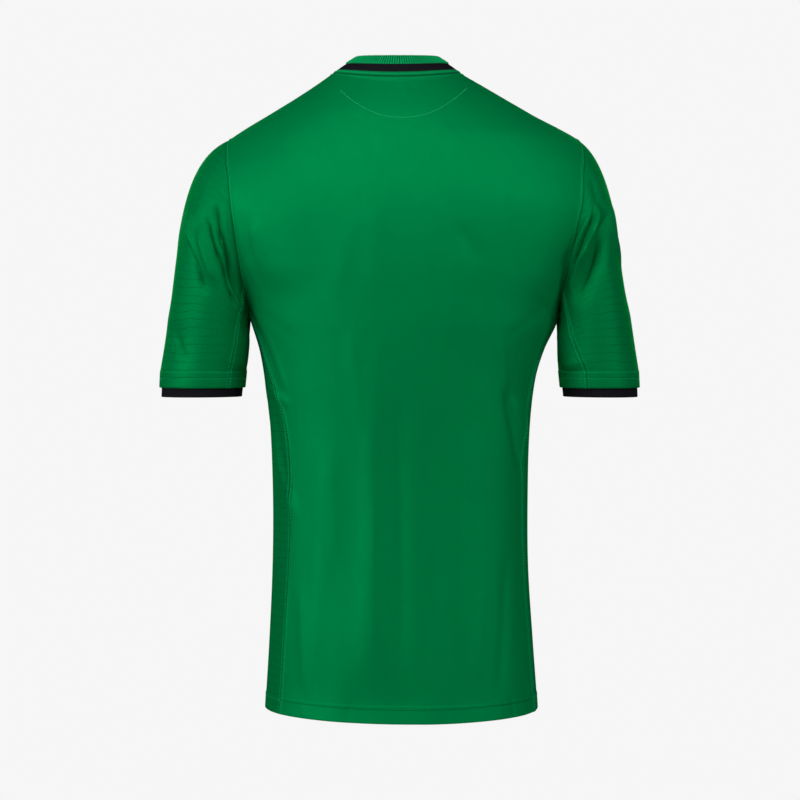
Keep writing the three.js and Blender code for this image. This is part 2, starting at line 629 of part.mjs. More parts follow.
// Raises ribs on the outside of a closed band. Each of its columns is split evenly, and every other
// point of the outer face stands out.
function ribbedBand(name, grid, material) {
  const splits = RIBS_PER_COLUMN * 2;
  const columns = grid[0].length;
  const fine = columns * splits;
  const outerPoint = (row, i) => {
    const from = row[Math.floor(i / splits)];
    const to = row[(Math.floor(i / splits) + 1) % columns];
    const share = (i % splits) / splits;
    const point = from.point.clone().lerp(to.point, share);
    const normal = from.normal.clone().lerp(to.normal, share).normalize();
    return point.addScaledVector(normal, from.outer + (i % 2 ? RIB_HEIGHT : 0));
  };
  const positions = [];
  for (const row of grid) range(fine, (i) => positions.push(...outerPoint(row, i).toArray()));
  for (const row of grid)
    for (const c of row) positions.push(...c.point.clone().addScaledVector(c.normal, -c.inner).toArray());
  const index = [];
  const outside = (j, i) => j * fine + (i % fine);
  const inside = (j, i) => 2 * fine + j * columns + (i % columns);
  const flip = facing(grid) < 0;
  const triangle = (a, b, c) => index.push(...(flip ? [a, c, b] : [a, b, c]));
  for (let i = 0; i < fine; i++) {
    triangle(outside(0, i), outside(0, i + 1), outside(1, i + 1));
    triangle(outside(0, i), outside(1, i + 1), outside(1, i));
  }
  for (let i = 0; i < columns; i++) {
    triangle(inside(0, i), inside(1, i), inside(1, i + 1));
    triangle(inside(0, i), inside(1, i + 1), inside(0, i + 1));
    for (const [j, turn] of [[0, 1], [1, -1]]) {
      const rim = (a, b, c) => (turn > 0 ? triangle(a, b, c) : triangle(a, c, b));
      rim(inside(j, i), inside(j, i + 1), outside(j, (i + 1) * splits));
      range(splits, (k) => rim(inside(j, i), outside(j, i * splits + k + 1), outside(j, i * splits + k)));
    }
  }
  return meshFrom(name, positions, index, material);
}

const green = new THREE.MeshStandardMaterial({ color: 0x007a42, roughness: 0.55, metalness: 0 });
const sleeveGreen = new THREE.MeshStandardMaterial({ color: 0x00703b, roughness: 0.6, metalness: 0 });
const ribGreen = new THREE.MeshStandardMaterial({ color: 0x008a4c, roughness: 0.75, metalness: 0 });
const dark = new THREE.MeshStandardMaterial({ color: 0x1c1b20, roughness: 0.65, metalness: 0 });

const jersey = new THREE.Group();

function addPanel(name, grid, material) {
  drawInEdges(grid);
  jersey.add(wall(name, grid, material));
}

addPanel("back_panel", bodyPanel("back"), green);
addPanel("front_panel", bodyPanel("front"), green);
for (const [side, word] of [[1, "left"], [-1, "right"]]) {
  const angles = sleeveAngles();
  addPanel(`side_panel_${word}`, sidePanel(side), sleeveGreen);
  addPanel(`sleeve_${word}`, sleevePatch(side, angles.main), sleeveGreen);
  addPanel(`sleeve_gusset_${word}`, sleevePatch(side, angles.gusset), green);
  jersey.add(wall(`cuff_trim_${word}`, cuffTrim(side), dark, true));
}

const stripeStart = COLLAR.binding;
const ribStart = COLLAR.binding + COLLAR.stripe;
const collarTop = ribStart + COLLAR.rib;
jersey.add(wall("collar_binding", collarBand(0, stripeStart, COLLAR_CLOTH.binding), ribGreen, true));
jersey.add(wall("collar_stripe", collarBand(stripeStart, ribStart, COLLAR_CLOTH.stripe), dark, true));
jersey.add(ribbedBand("collar_rib", collarBand(ribStart, collarTop, COLLAR_CLOTH.rib), ribGreen));

export default jersey;
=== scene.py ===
# %% [markdown]
# A football jersey, filled out as if it were worn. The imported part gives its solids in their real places,
# and this lesson dresses them: each panel becomes a thin shell of knitted cloth with its folds, its seams
# stand up where cloth lies double, and the sewing is laid on top. The first lines load the part.

# %% Load the part
import json
import math

import bpy
import numpy as np
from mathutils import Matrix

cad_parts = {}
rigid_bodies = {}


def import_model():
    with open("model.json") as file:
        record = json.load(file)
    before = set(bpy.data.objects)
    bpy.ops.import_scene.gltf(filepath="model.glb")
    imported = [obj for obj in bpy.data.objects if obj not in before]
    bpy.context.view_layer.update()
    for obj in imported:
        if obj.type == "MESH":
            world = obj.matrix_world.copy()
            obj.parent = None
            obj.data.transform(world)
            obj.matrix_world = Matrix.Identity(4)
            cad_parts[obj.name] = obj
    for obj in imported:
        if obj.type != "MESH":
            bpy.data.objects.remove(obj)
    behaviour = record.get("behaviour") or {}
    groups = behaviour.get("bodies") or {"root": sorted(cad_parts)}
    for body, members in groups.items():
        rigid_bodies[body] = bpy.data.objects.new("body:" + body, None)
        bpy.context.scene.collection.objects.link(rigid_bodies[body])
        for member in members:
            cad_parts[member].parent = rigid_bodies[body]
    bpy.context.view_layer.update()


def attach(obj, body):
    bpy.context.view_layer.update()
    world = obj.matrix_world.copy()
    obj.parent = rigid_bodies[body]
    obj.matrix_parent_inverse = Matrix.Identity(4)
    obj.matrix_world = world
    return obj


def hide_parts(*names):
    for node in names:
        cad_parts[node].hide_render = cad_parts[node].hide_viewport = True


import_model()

MM = 0.001

# %% [markdown]
# The camera comes first, because every later choice is judged through it. The jersey is seen from behind,
# level with its middle, from far enough away that the sides hardly converge. A long lens does that. The
# numbers below are the distance, the width that the picture covers at the jersey, and the height.

# %% Camera
CAMERA = {"distance": 2.8, "covers": 0.912, "height": -0.3694, "sensor": 36}

camera_data = bpy.data.cameras.new("camera")
camera_data.sensor_width = CAMERA["sensor"]
camera_data.lens = CAMERA["sensor"] * CAMERA["distance"] / CAMERA["covers"]
camera = bpy.data.objects.new("camera", camera_data)
camera.location = (0, CAMERA["distance"], CAMERA["height"])
camera.rotation_euler = (math.pi / 2, 0, math.pi)
bpy.context.scene.collection.objects.link(camera)
bpy.context.scene.camera = camera
print("lens", round(camera_data.lens, 1), "mm")

# %% [markdown]
# The body of the jersey is one rounded surface before it is cut into panels. It could be sculpted, but a
# stack of rings is easier to hold to real sizes: each row of the table below is one level, in millimetres,
# with its half width and its depth to the back and to the front. A smooth curve runs through each column.

# %% Tables of the body's form
def table(columns, *rows):
    """Named columns of numbers, in order of rising first column."""
    return dict(zip(columns.split(), np.array(sorted(rows), float).T))


def curve(rows, z, column):
    """A smooth curve through one column of a table, at any levels z."""
    level, value = rows["z"], rows[column]
    last = len(level) - 1
    z = np.clip(z, level[0], level[-1])
    i = np.clip(np.searchsorted(level, z) - 1, 0, last - 1)
    before = np.maximum(np.arange(last + 1) - 1, 0)
    after = np.minimum(np.arange(last + 1) + 1, last)
    slope = (value[after] - value[before]) / (level[after] - level[before])
    span = level[i + 1] - level[i]
    t = (z - level[i]) / span
    start = (2 * t**3 - 3 * t**2 + 1) * value[i] + (t**3 - 2 * t**2 + t) * span * slope[i]
    return start + (3 * t**2 - 2 * t**3) * value[i + 1] + (t**3 - t**2) * span * slope[i + 1]


RING_POWER = 2.2
RINGS = table(
    "z halfWidth centreX back front",
    (12, 57, 4, 49, 38),
    (0, 74.5, 3.5, 57, 45),
    (-13.7, 96, 1.4, 66, 56),
    (-27.4, 118, 0.2, 75, 65),
    (-38.8, 137, -0.4, 82, 72),
    (-50, 156, -1, 88, 80),
    (-61.6, 177, -2.6, 93, 88),
    (-74, 197.2, -4.2, 98, 95),
    (-90, 216, -3, 103, 102),
    (-110, 232, -1.8, 109, 109),
    (-141, 240, -1.8, 116, 117),
    (-176, 228, -2, 119, 124),
    (-221, 201, -2.4, 119, 129),
    (-255, 182, -3.8, 117, 130),
    (-284, 172.5, -4.4, 115, 129),
    (-312, 161.5, -2.1, 112, 127),
    (-346, 153.4, 0, 108.5, 125),
    (-403, 147, 0, 104, 122),
    (-483, 144.4, -0.4, 102, 120),
    (-560, 145, -0.4, 106, 119),
    (-643, 149.4, -1.2, 115, 120),
    (-711, 153.8, -1.6, 124, 122),
    (-760, 156, -1.6, 129, 124),
)
print("rings:", len(RINGS["z"]))

# %% [markdown]
# Folds are what make cloth look like cloth. Here each one is a soft ridge, or a trough where its height is
# negative, along a line between two places on the body. The large ones are in the part's solids too, where
# a few are stronger. The fine ones below them are only here: pulls at the armholes, drag lines from the
# underarm and long slack waves down the back. A cloth simulation could find folds by itself, but laying them
# out one by one puts each one where it is on the real jersey.

# %% Folds of the body
FOLD_COLUMNS = "angle z to_angle to_z width height"
LARGE_BODY_FOLDS = (
    (74, -345, 71, -690, 30, 3.4),
    (89, -360, 88, -700, 30, -2.6),
    (46, -410, 43, -680, 28, 2.4),
    (119, -430, 124, -670, 34, 1.6),
    (67, -165, 58, -246, 20, 0.7),
    (50, -200, 57, -232, 14, -0.5),
    (119, -180, 127, -215, 16, -1.4),
    (12, -352, 28, -374, 11, 2.2),
    (13, -420, 31, -500, 11, 2),
    (148, -352, 161, -448, 12, -2.6),
    (158, -368, 168, -415, 9, 2),
    (161, -262, 143, -300, 13, -0.7),
    (18, -268, 36, -304, 12, -0.5),
    (-22, -250, -52, -292, 15, -2.6),
    (-158, -252, -131, -300, 15, -2.8),
    (-66, -300, -72, -560, 32, 2.6),
    (-112, -330, -106, -640, 32, 3),
    (-90, -420, -91, -690, 26, -2.2),
    (-34, -350, -25, -430, 13, 2.2),
    (-146, -360, -157, -430, 13, 2.2),
)
FINE_BODY_FOLDS = (
    (47, -170, 50, -250, 28, -1.3),
    (33, -150, 30, -240, 50, 2.4),
    (152, -130, 150, -262, 60, 4.5),
    (26.5, -162, 25, -217, 8, -1.5),
    (29, -176, 27, -223, 8, 1.5),
    (23.5, -216, 22.5, -262, 7, 1.2),
    (8, -254, 14.5, -307, 8, -1.7),
    (12, -277, 21, -343, 9, -1.8),
    (18.5, -289, 27, -356, 9, 1.5),
    (23.5, -400, 27.5, -504, 8, 1.9),
    (50.5, -427, 52.5, -546, 20, 1.5),
    (77, -150, 74, -262, 34, 1.6),
    (75.5, -470, 76.5, -655, 15, 1.9),
    (88, -385, 92, -665, 44, -2.4),
    (107, -390, 110, -690, 62, -2.8),
    (62.5, -292, 67.5, -397, 16, 1.5),
    (116.5, -200, 115, -308, 24, 1.3),
    (128, -414, 124.5, -546, 18, 1.4),
    (139.5, -301, 149.5, -361, 9, 1.7),
    (153.5, -370, 165, -414, 8, 2.2),
    (149.5, -361, 163.5, -446, 9, -2.2),
    (154, -259, 170, -282, 8, -1.8),
    (166, -295, 165.5, -340, 7, 1.5),
    (34.5, -580, 40.5, -691, 14, 1.5),
    (109.5, -523, 108.5, -688, 26, -1.4),
    (135.5, -578, 126.5, -690, 20, 1.4),
    (151, -547, 141, -691, 14, -1.5),
    (140, -700, 140.5, -720, 6, 0.9),
    (147, -700, 148, -720, 6, -0.9),
    (154, -702, 156.5, -720, 5, 0.8),
    (38.5, -702, 40, -718, 6, 0.7),
    (62, -704, 63, -720, 7, -0.7),
    (90, -12, 101, -21, 11, 1.7),
    (93.5, -15, 103, -24, 8, -1.6),
    (24, -704, 156, -704, 90, -4.5),
    (60, -698, 104, -700, 60, -5),
    (6, -352, 22, -478, 6, 1.8),
    (3, -400, 16, -500, 9, -1.6),
    (14, -356, 19, -420, 8, -1.6),
    (114.5, -61, 125, -118, 26, 1.2),
    (32.5, -58, 38.5, -127, 26, 1.2),
    (-27, -170, -24, -222, 8, -1.5),
    (-31, -184, -30, -236, 9, 1.5),
    (-14, -286, -27, -350, 9, -1.8),
    (-21, -292, -36, -360, 10, 1.6),
    (-28, -410, -31, -512, 8, 1.7),
    (-54, -440, -57, -580, 20, 1.6),
    (-78, -390, -82, -640, 14, -1.8),
    (-98, -470, -96, -650, 13, 2.0),
    (-121, -410, -124, -560, 18, 1.5),
    (-70, -180, -78, -262, 22, -1.6),
    (-108, -190, -101, -280, 22, 1.5),
    (-152, -300, -143, -366, 10, 1.8),
    (-160, -372, -150, -436, 9, -2.0),
    (-149, -170, -152, -225, 9, -1.6),
    (-132, -590, -139, -692, 15, 1.5),
    (-40, -600, -46, -690, 14, -1.4),
    (-112, -700, -113, -720, 6, 0.8),
    (-61, -700, -60, -720, 6, -0.8),
)
FOLD_END = {"past": 0.15, "fade": 0.4}
FOLD_RADIUS = {"body": 130, "sleeve": 55}
FOLD_POWER = {"soft": 2.0, "body": 1.7, "sleeve": 1.3}


def fold_table(soft, fine, power):
    """All folds of one piece of the form. A lower power makes the fine ones crisper along their middle."""
    folds = dict(zip(FOLD_COLUMNS.split(), np.array(soft + fine, float).T))
    folds["power"] = np.array([FOLD_POWER["soft"]] * len(soft) + [power] * len(fine))
    return folds


def smooth(share):
    """0 below 0, 1 above 1, and an even swing between them."""
    share = np.clip(share, 0, 1)
    return share * share * (3 - 2 * share)


def fold_height(folds, degrees, z, radius):
    """The height of all folds of a table, at each place."""
    per_degree = math.radians(1) * radius
    height = np.zeros(np.broadcast(degrees, z).shape)
    for k in range(len(folds["z"])):
        row = {name: values[k] for name, values in folds.items()}
        run = (row["to_angle"] - row["angle"]) * per_degree
        fall = row["to_z"] - row["z"]
        length = math.hypot(run, fall)
        off_x = (degrees - row["angle"]) * per_degree
        off_z = z - row["z"]
        along = (off_x * run + off_z * fall) / length**2
        across = (off_x * fall - off_z * run) / length / (row["width"] / 2)
        fade = smooth((0.5 + FOLD_END["past"] - np.abs(along - 0.5)) / FOLD_END["fade"])
        height += row["height"] * np.exp(-np.abs(across) ** row["power"]) * fade
    return height


BODY_FOLDS = fold_table(LARGE_BODY_FOLDS, FINE_BODY_FOLDS, FOLD_POWER["body"])
print("body folds:", len(BODY_FOLDS["z"]))

# %% [markdown]
# A place on the body is an angle round it and a level. 0 degrees is the wearer's left, 90 the back. The
# function gives the point there, and its normal comes from two small steps along the surface.

# %% The body surface
def body_point(degrees, z):
    """The point of the body, in millimetres, at an angle and a level."""
    degrees, z = np.broadcast_arrays(np.asarray(degrees, float), np.asarray(z, float))
    c, s = np.cos(np.radians(degrees)), np.sin(np.radians(degrees))
    depth = np.where(s > 0, curve(RINGS, z, "back"), curve(RINGS, z, "front"))
    width = curve(RINGS, z, "halfWidth")
    reach = (np.abs(c / width) ** RING_POWER + np.abs(s / depth) ** RING_POWER) ** (-1 / RING_POWER)
    turn = (degrees + 180) % 360 - 180
    reach = reach + fold_height(BODY_FOLDS, turn, z, FOLD_RADIUS["body"])
    return np.stack([curve(RINGS, z, "centreX") + reach * c, reach * s, z], -1)


def unit(vectors):
    """The same directions, each 1 long."""
    return vectors / np.linalg.norm(vectors, axis=-1, keepdims=True)


def normal_of(surface, a, b, step_a, step_b):
    """The outward normal of a surface that is a function of two numbers."""
    da = surface(a + step_a, b) - surface(a - step_a, b)
    db = surface(a, b + step_b) - surface(a, b - step_b)
    return unit(np.cross(da, db))


DEGREE_STEP, LEVEL_STEP = 0.5, 1


def body_normal(degrees, z):
    return normal_of(body_point, degrees, z, DEGREE_STEP, LEVEL_STEP)


print("back at the chest:", body_point(90, -176).round(1), "mm")

# %% [markdown]
# The armhole and the neck are closed lines drawn on that surface, and every panel ends on them. They could
# be cut out of the finished mesh with a boolean, but a line worked out beforehand gives clean edges, and
# neighbours that share it meet wherever the folds go.

# %% Armholes and neck
SHOULDER_POINT_Z, ARMPIT_Z = -74, -272
ARMHOLE = {"back": 19, "front": 22, "joinAngle": 160, "fuller": {1: 3, -1: 1}}
NECK = {"halfWidth": 74.5, "centreX": 3.5, "backDrop": 10, "frontDrop": 75, "dropPower": 1.6,
        "shoulderSeam": -8}


def armhole_at(side, angle):
    """A place on an armhole, by its angle from the shoulder point: 90 at the back, 180 at the underarm."""
    middle, rise = (SHOULDER_POINT_Z + ARMPIT_Z) / 2, (SHOULDER_POINT_Z - ARMPIT_Z) / 2
    s, c = np.sin(np.radians(angle)), np.cos(np.radians(angle))
    degrees = s * np.where(s > 0, ARMHOLE["back"] + ARMHOLE["fuller"][side] * (1 + c), ARMHOLE["front"])
    return (degrees if side > 0 else 180 - degrees), middle + rise * c


def neck_at(angle):
    """A place on the neck seam, by its angle seen from above: 90 at the back."""
    c, s = np.cos(np.radians(angle)), np.sin(np.radians(angle))
    z = -np.where(s > 0, NECK["backDrop"], NECK["frontDrop"]) * np.abs(s) ** NECK["dropPower"]
    x = NECK["centreX"] + NECK["halfWidth"] * c - curve(RINGS, z, "centreX")
    share = np.clip(np.abs(x) / curve(RINGS, z, "halfWidth"), 0, 1)
    depth = np.where(s > 0, curve(RINGS, z, "back"), curve(RINGS, z, "front"))
    y = np.sign(s) * depth * (1 - share**RING_POWER) ** (1 / RING_POWER)
    return np.degrees(np.arctan2(y, x)), z


print("underarm at", armhole_at(1, 180)[1].round(1), "mm, back of the neck at", neck_at(90)[1].round(1), "mm")

# %% [markdown]
# A sleeve starts on its armhole and runs along Bezier curves to a ring above its hem band, and then
# straight on to the cuff. Each curve has a control arm at either end, given at four places round the sleeve
# and blended between them, so a few numbers bend the whole sleeve. The two sleeves hang a little
# differently.

# %% Sleeves without folds
CUFF = {"z": -355, "band": 20, "trimShows": 10.5, "trimInside": 8, "trimCloth": 1.2, "backDrop": 1.5}
CUFF_SHIFT = {"x": 1.5, "y": -1, "halfWidth": -0.5, "halfDepth": -0.8}
SLEEVE_ARMS = {
    "top": ((46, 0, -28), (-22, 0, 128)),
    "back": ((20, 9, -48), (-7, 4, 60)),
    "bottom": ((0, 0, -32), (-3, 0, 14)),
    "front": ((20, -9, -48), (-7, -4, 60)),
}
SLEEVES = {
    1: {"x": 224, "y": -3, "halfWidth": 48.5, "halfDepth": 60, "turn": 2, "capOut": 17, "capUp": 2},
    -1: {"x": 226.4, "y": -3, "halfWidth": 45, "halfDepth": 64, "turn": 20, "capOut": -4, "capUp": 0},
}


def sleeve_arm(side, angle, end):
    """One control arm of a sleeve's Bezier lines, blended round the sleeve from its four named places."""
    c, s, doubled = (f(np.radians(k * angle)) for f, k in ((np.cos, 1), (np.sin, 1), (np.cos, 2)))
    top, back, bottom, front = (SLEEVE_ARMS[place][end] for place in ("top", "back", "bottom", "front"))
    axes = []
    for t, b, u, f in zip(top, back, bottom, front):
        axes.append((t + b + u + f) / 4 + (t - u) / 2 * c + (b - f) / 2 * s + (t + u - b - f) / 4 * doubled)
    return np.stack([side * axes[0], axes[1], axes[2]], -1)


def sleeve_ring(side, shift, turned):
    """The ring above a sleeve's hem band at shift 0, and the cuff at shift 1."""
    shape = SLEEVES[side]
    c, s = np.cos(turned), np.sin(turned)
    size = {name: shape[name] + shift * CUFF_SHIFT[name] for name in CUFF_SHIFT}
    z = CUFF["z"] + CUFF["band"] * (1 - shift) - CUFF["backDrop"] * s
    return np.stack([side * (size["x"] + size["halfWidth"] * c), size["y"] + size["halfDepth"] * s, z], -1)


def plain_sleeve_point(side, angle, t):
    """The sleeve without folds. t is 0 at the armhole, 1 above the hem band and 2 at the cuff."""
    angle, t = np.broadcast_arrays(np.asarray(angle, float), np.asarray(t, float))
    start = body_point(*armhole_at(side, angle))
    turned = np.radians(angle - SLEEVES[side]["turn"] * np.minimum(t, 1))
    end = sleeve_ring(side, 0, turned)
    top = ((1 + np.cos(np.radians(angle))) / 2) ** 2
    shape = SLEEVES[side]
    cap = np.stack([side * shape["capOut"] * top, 0 * top, shape["capUp"] * top], -1)
    arm_one = start + sleeve_arm(side, angle, 0) + cap
    arm_two = end + sleeve_arm(side, angle, 1)
    s = np.minimum(t, 1)[..., None]
    line = (1 - s) ** 3 * start + 3 * (1 - s) ** 2 * s * arm_one + 3 * (1 - s) * s**2 * arm_two + s**3 * end
    past = np.maximum(t - 1, 0)[..., None]
    return line + past * (sleeve_ring(side, 1, turned) - end)


print("plain left sleeve, half way down:", plain_sleeve_point(1, 0, 0.5).round(1), "mm")

# %% [markdown]
# A sleeve is cut for a raised arm, so it has cloth to spare when the arm hangs down. That cloth gathers in
# creases that run from the underarm up and outward. They are laid like those of the body, but with a
# sharper middle, and they die out at both ends, where the sewing holds the cloth flat.

# %% Folds of the sleeves
# The last two large ones square a sleeve off under the arm, and are only here.
LARGE_SLEEVE_FOLDS = {
    1: (
        (45, -176, 76, -234, 11, 2),
        (62, -160, 120, -242, 12, -3.2),
        (76, -156, 136, -240, 9, 2.2),
        (50, -300, 76, -328, 9, -1.8),
        (296, -165, 238, -245, 13, -3),
        (310, -180, 282, -240, 11, 2),
        (300, -290, 268, -322, 10, -1.8),
        (154, -290, 154, -352, 50, 3.5),
        (184, -290, 184, -352, 34, -1.8),
    ),
    -1: (
        (58, -154, 112, -236, 9, 2.2),
        (76, -172, 126, -230, 9, 2.2),
        (52, -166, 106, -258, 12, -3.4),
        (34, -142, 27, -214, 10, 1.8),
        (292, -160, 236, -240, 13, -3),
        (312, -176, 280, -236, 11, 2),
        (284, -292, 256, -322, 10, -1.8),
        (154, -285, 154, -352, 50, 4.5),
        (184, -285, 184, -352, 34, -1.8),
    ),
}
FINE_SLEEVE_FOLDS = {
    1: (
        (36, -158, 66, -216, 8, 4.8),
        (50, -190, 83, -247, 7, -6.3),
        (60, -182, 92, -238, 8, 5.4),
        (62, -168, 92, -216, 6, -6.3),
        (88, -206, 124, -262, 7, -6.9),
        (70, -172, 104, -226, 7, 5.1),
        (67, -154, 90, -200, 6, -5.4),
        (86, -186, 126, -254, 6, -6.6),
        (79, -158, 120, -224, 8, 5.1),
        (48, -302, 78, -333, 6, -1.2),
        (30, -302, 68, -332, 7, 1),
        (112, -242, 134, -268, 6, 3.6),
        (2, -190, 2, -270, 44, -1.6),
        (48, -284, 44, -348, 42, -3.6),
        (28, -128, 44, -160, 14, -1.4),
        (300, -164, 260, -226, 8, 5.1),
        (290, -192, 248, -250, 7, -6),
        (285, -176, 246, -232, 7, 4.8),
        (276, -160, 242, -210, 7, -5.4),
        (318, -200, 300, -262, 9, 3.6),
        (330, -296, 290, -326, 7, -3.6),
    ),
    -1: (
        (62, -156, 106, -226, 6, 8.1),
        (73, -161, 118, -220, 6, 6.9),
        (67.5, -158, 112, -223, 5, -6),
        (52, -168, 114, -254, 10, -10),
        (50, -120, 60, -160, 14, -2),
        (42, -148, 37, -216, 9, 3.4),
        (12, -170, 8, -264, 46, -4.8),
        (90, -200, 122, -246, 5, 3.9),
        (298, -161, 253, -230, 6, 5.7),
        (288, -168, 245, -224, 6, -5.4),
        (304, -178, 260, -254, 8, -6),
        (278, -186, 244, -244, 6, 4.5),
        (322, -150, 326, -216, 9, 3.6),
        (296, -300, 262, -328, 7, -3.3),
    ),
}
SLEEVE_FOLDS = {side: fold_table(LARGE_SLEEVE_FOLDS[side], FINE_SLEEVE_FOLDS[side], FOLD_POWER["sleeve"])
                for side in (1, -1)}
FOLD_FREE_ENDS = 1 / 8
BARE_STEP, SLEEVE_SHARE_STEP = 0.01, 0.004
FIRST_SHARE = 0.005


def sleeve_point(side, angle, t):
    """The sleeve with its folds, which die out at the armhole and at the hem band."""
    point = plain_sleeve_point(side, angle, t)
    t = np.broadcast_to(t, point.shape[:-1])
    height = fold_height(SLEEVE_FOLDS[side], angle, point[..., 2], FOLD_RADIUS["sleeve"])
    height = height * np.clip(np.minimum(t, 1 - t) / FOLD_FREE_ENDS, 0, 1)
    bare = -side * normal_of(lambda a, b: plain_sleeve_point(side, a, b), angle, t, DEGREE_STEP, BARE_STEP)
    return point + bare * height[..., None]


def sleeve_normal(side, angle, t):
    """The outward normal of a sleeve. At the armhole it is taken just past the edge."""
    t = np.maximum(t, FIRST_SHARE)
    return -side * normal_of(lambda a, b: sleeve_point(side, a, b), angle, t, DEGREE_STEP, SLEEVE_SHARE_STEP)


print("left cuff, outer side:", sleeve_point(1, 0, 2).round(1), "mm")

# %% [markdown]
# The collar goes on up from the neck seam and leans in towards the neck. Straight lines from the seam to a
# smaller ring would give a cone, so a slight bulge between them makes it look like soft knit.

# %% The collar's surface
COLLAR = {"binding": 8, "stripe": 12, "rib": 13.5, "bulge": 0.6, "lift": 0.6}
COLLAR_TOP = {"centreX": 3, "halfWidth": 46.2, "back": 40, "front": 75,
              "sideZ": 20, "backZ": 17.5, "frontZ": -48}
COLLAR_SHARE_STEP = 0.02


def collar_point(angle, share):
    """The collar, from 0 at the neck seam to 1 at its top edge."""
    angle, share = np.broadcast_arrays(np.asarray(angle, float), np.asarray(share, float))
    seam = body_point(*neck_at(angle))
    c, s = np.cos(np.radians(angle)), np.sin(np.radians(angle))
    depth = np.where(s > 0, COLLAR_TOP["back"], COLLAR_TOP["front"])
    end_z = np.where(s > 0, COLLAR_TOP["backZ"], COLLAR_TOP["frontZ"])
    rise = COLLAR_TOP["sideZ"] + (end_z - COLLAR_TOP["sideZ"]) * np.abs(s) ** NECK["dropPower"]
    top = np.stack([COLLAR_TOP["centreX"] + COLLAR_TOP["halfWidth"] * c, depth * s, rise], -1)
    out = unit(np.stack([c / COLLAR_TOP["halfWidth"], s / depth, COLLAR["lift"] / depth], -1))
    share = share[..., None]
    return seam + (top - seam) * share + out * COLLAR["bulge"] * 4 * share * (1 - share)


def collar_normal(angle, share):
    return normal_of(collar_point, angle, share, DEGREE_STEP, COLLAR_SHARE_STEP)


print("top of the collar at the back:", collar_point(90, 1).round(1), "mm")

# %% [markdown]
# Every piece becomes a mesh in the same way, from points and faces with four corners. Each corner also
# keeps its place on the flat cloth, in metres, as a UV map named cut, so that a knit pattern lies along the
# real thread. An unwrap could guess that map, but here it is measured along the cloth.

# %% Meshes from points
SHARP_ANGLE = math.radians(55)


def run_of(points, axis):
    """The distance from the first row or column of a grid, along its lines."""
    steps = np.linalg.norm(np.diff(points, axis=axis), axis=-1)
    start = np.zeros_like(np.take(steps, [0], axis=axis))
    return np.concatenate([start, np.cumsum(steps, axis=axis)], axis=axis)


def mesh_object(name, vertices, faces, face_cuts, material):
    """An object from points in millimetres, quads, and each quad corner's place on the flat cloth."""
    mesh = bpy.data.meshes.new(name)
    mesh.from_pydata((vertices * MM).tolist(), [], faces.tolist())
    mesh.uv_layers.new(name="cut").data.foreach_set("uv", (face_cuts * MM).ravel())
    mesh.shade_smooth()
    mesh.set_sharp_from_angle(angle=SHARP_ANGLE)
    mesh.materials.append(material)
    made = bpy.data.objects.new(name, mesh)
    bpy.context.scene.collection.objects.link(made)
    return made


print("edges sharper than", round(math.degrees(SHARP_ANGLE)), "degrees stay sharp")

# %% [markdown]
# A panel of cloth is a thin shell: a grid of points on the surface, moved out for its outside and in for
# its inside, with the two joined round the edge. That could be a solidify modifier, but a shell made by
# hand can be thicker at a hem and dip into a seam.

# %% Shells of cloth
CLOTH = 1.2


def shell(name, points, normals, outer, inner, cut, material, closed=False):
    """A shell of cloth round a grid of points. A closed grid joins its last column to its first.

    quads holds the vertices of each face: outside, inside, first edge, last edge and, where the grid is open,
    its two sides. places holds the same corners' places in the cut map. Should the outside face in, every
    face is turned over.
    """
    rows, columns = points.shape[:2]
    reach = [np.broadcast_to(size, (rows, columns))[..., None] for size in (outer, inner)]
    vertices = np.concatenate([points + normals * reach[0], points - normals * reach[1]]).reshape(-1, 3)
    spans = columns if closed else columns - 1
    j, i = np.meshgrid(np.arange(rows), np.arange(spans + 1), indexing="ij")
    out = j * columns + i % columns
    into = out + rows * columns
    flat = j * (spans + 1) + i
    quads = [(out[:-1, :-1], out[:-1, 1:], out[1:, 1:], out[1:, :-1]),
             (into[:-1, :-1], into[1:, :-1], into[1:, 1:], into[:-1, 1:]),
             (into[0, :-1], into[0, 1:], out[0, 1:], out[0, :-1]),
             (out[-1, :-1], out[-1, 1:], into[-1, 1:], into[-1, :-1])]
    places = [(flat[:-1, :-1], flat[:-1, 1:], flat[1:, 1:], flat[1:, :-1]),
              (flat[:-1, :-1], flat[1:, :-1], flat[1:, 1:], flat[:-1, 1:]),
              (flat[0, :-1], flat[0, 1:], flat[0, 1:], flat[0, :-1]),
              (flat[-1, :-1], flat[-1, 1:], flat[-1, 1:], flat[-1, :-1])]
    if not closed:
        quads += [(out[:-1, 0], out[1:, 0], into[1:, 0], into[:-1, 0]),
                  (out[:-1, -1], into[:-1, -1], into[1:, -1], out[1:, -1])]
        places += [(flat[:-1, 0], flat[1:, 0], flat[1:, 0], flat[:-1, 0]),
                   (flat[:-1, -1], flat[:-1, -1], flat[1:, -1], flat[1:, -1])]
    faces = np.concatenate([np.stack(q, -1).reshape(-1, 4) for q in quads])
    corners = np.concatenate([np.stack(q, -1).reshape(-1, 4) for q in places])
    row, column = rows // 2, columns // 2
    across = points[row, column + 1] - points[row, column]
    up = points[row + 1, column] - points[row, column]
    if np.dot(np.cross(across, up), normals[row, column]) < 0:
        faces, corners = faces[:, ::-1], corners[:, ::-1]
    return mesh_object(name, vertices, faces, cut.reshape(-1, 2)[corners], material)


print("cloth", CLOTH, "mm thick")

# %% [markdown]
# Two layers of cloth lie under a seam, so the cloth dips into the seam line and stands up beside it for as
# far as the seam allowance reaches. A bump map could fake this, but real relief catches the light from
# every side. The grid lines are close together there, and even elsewhere.

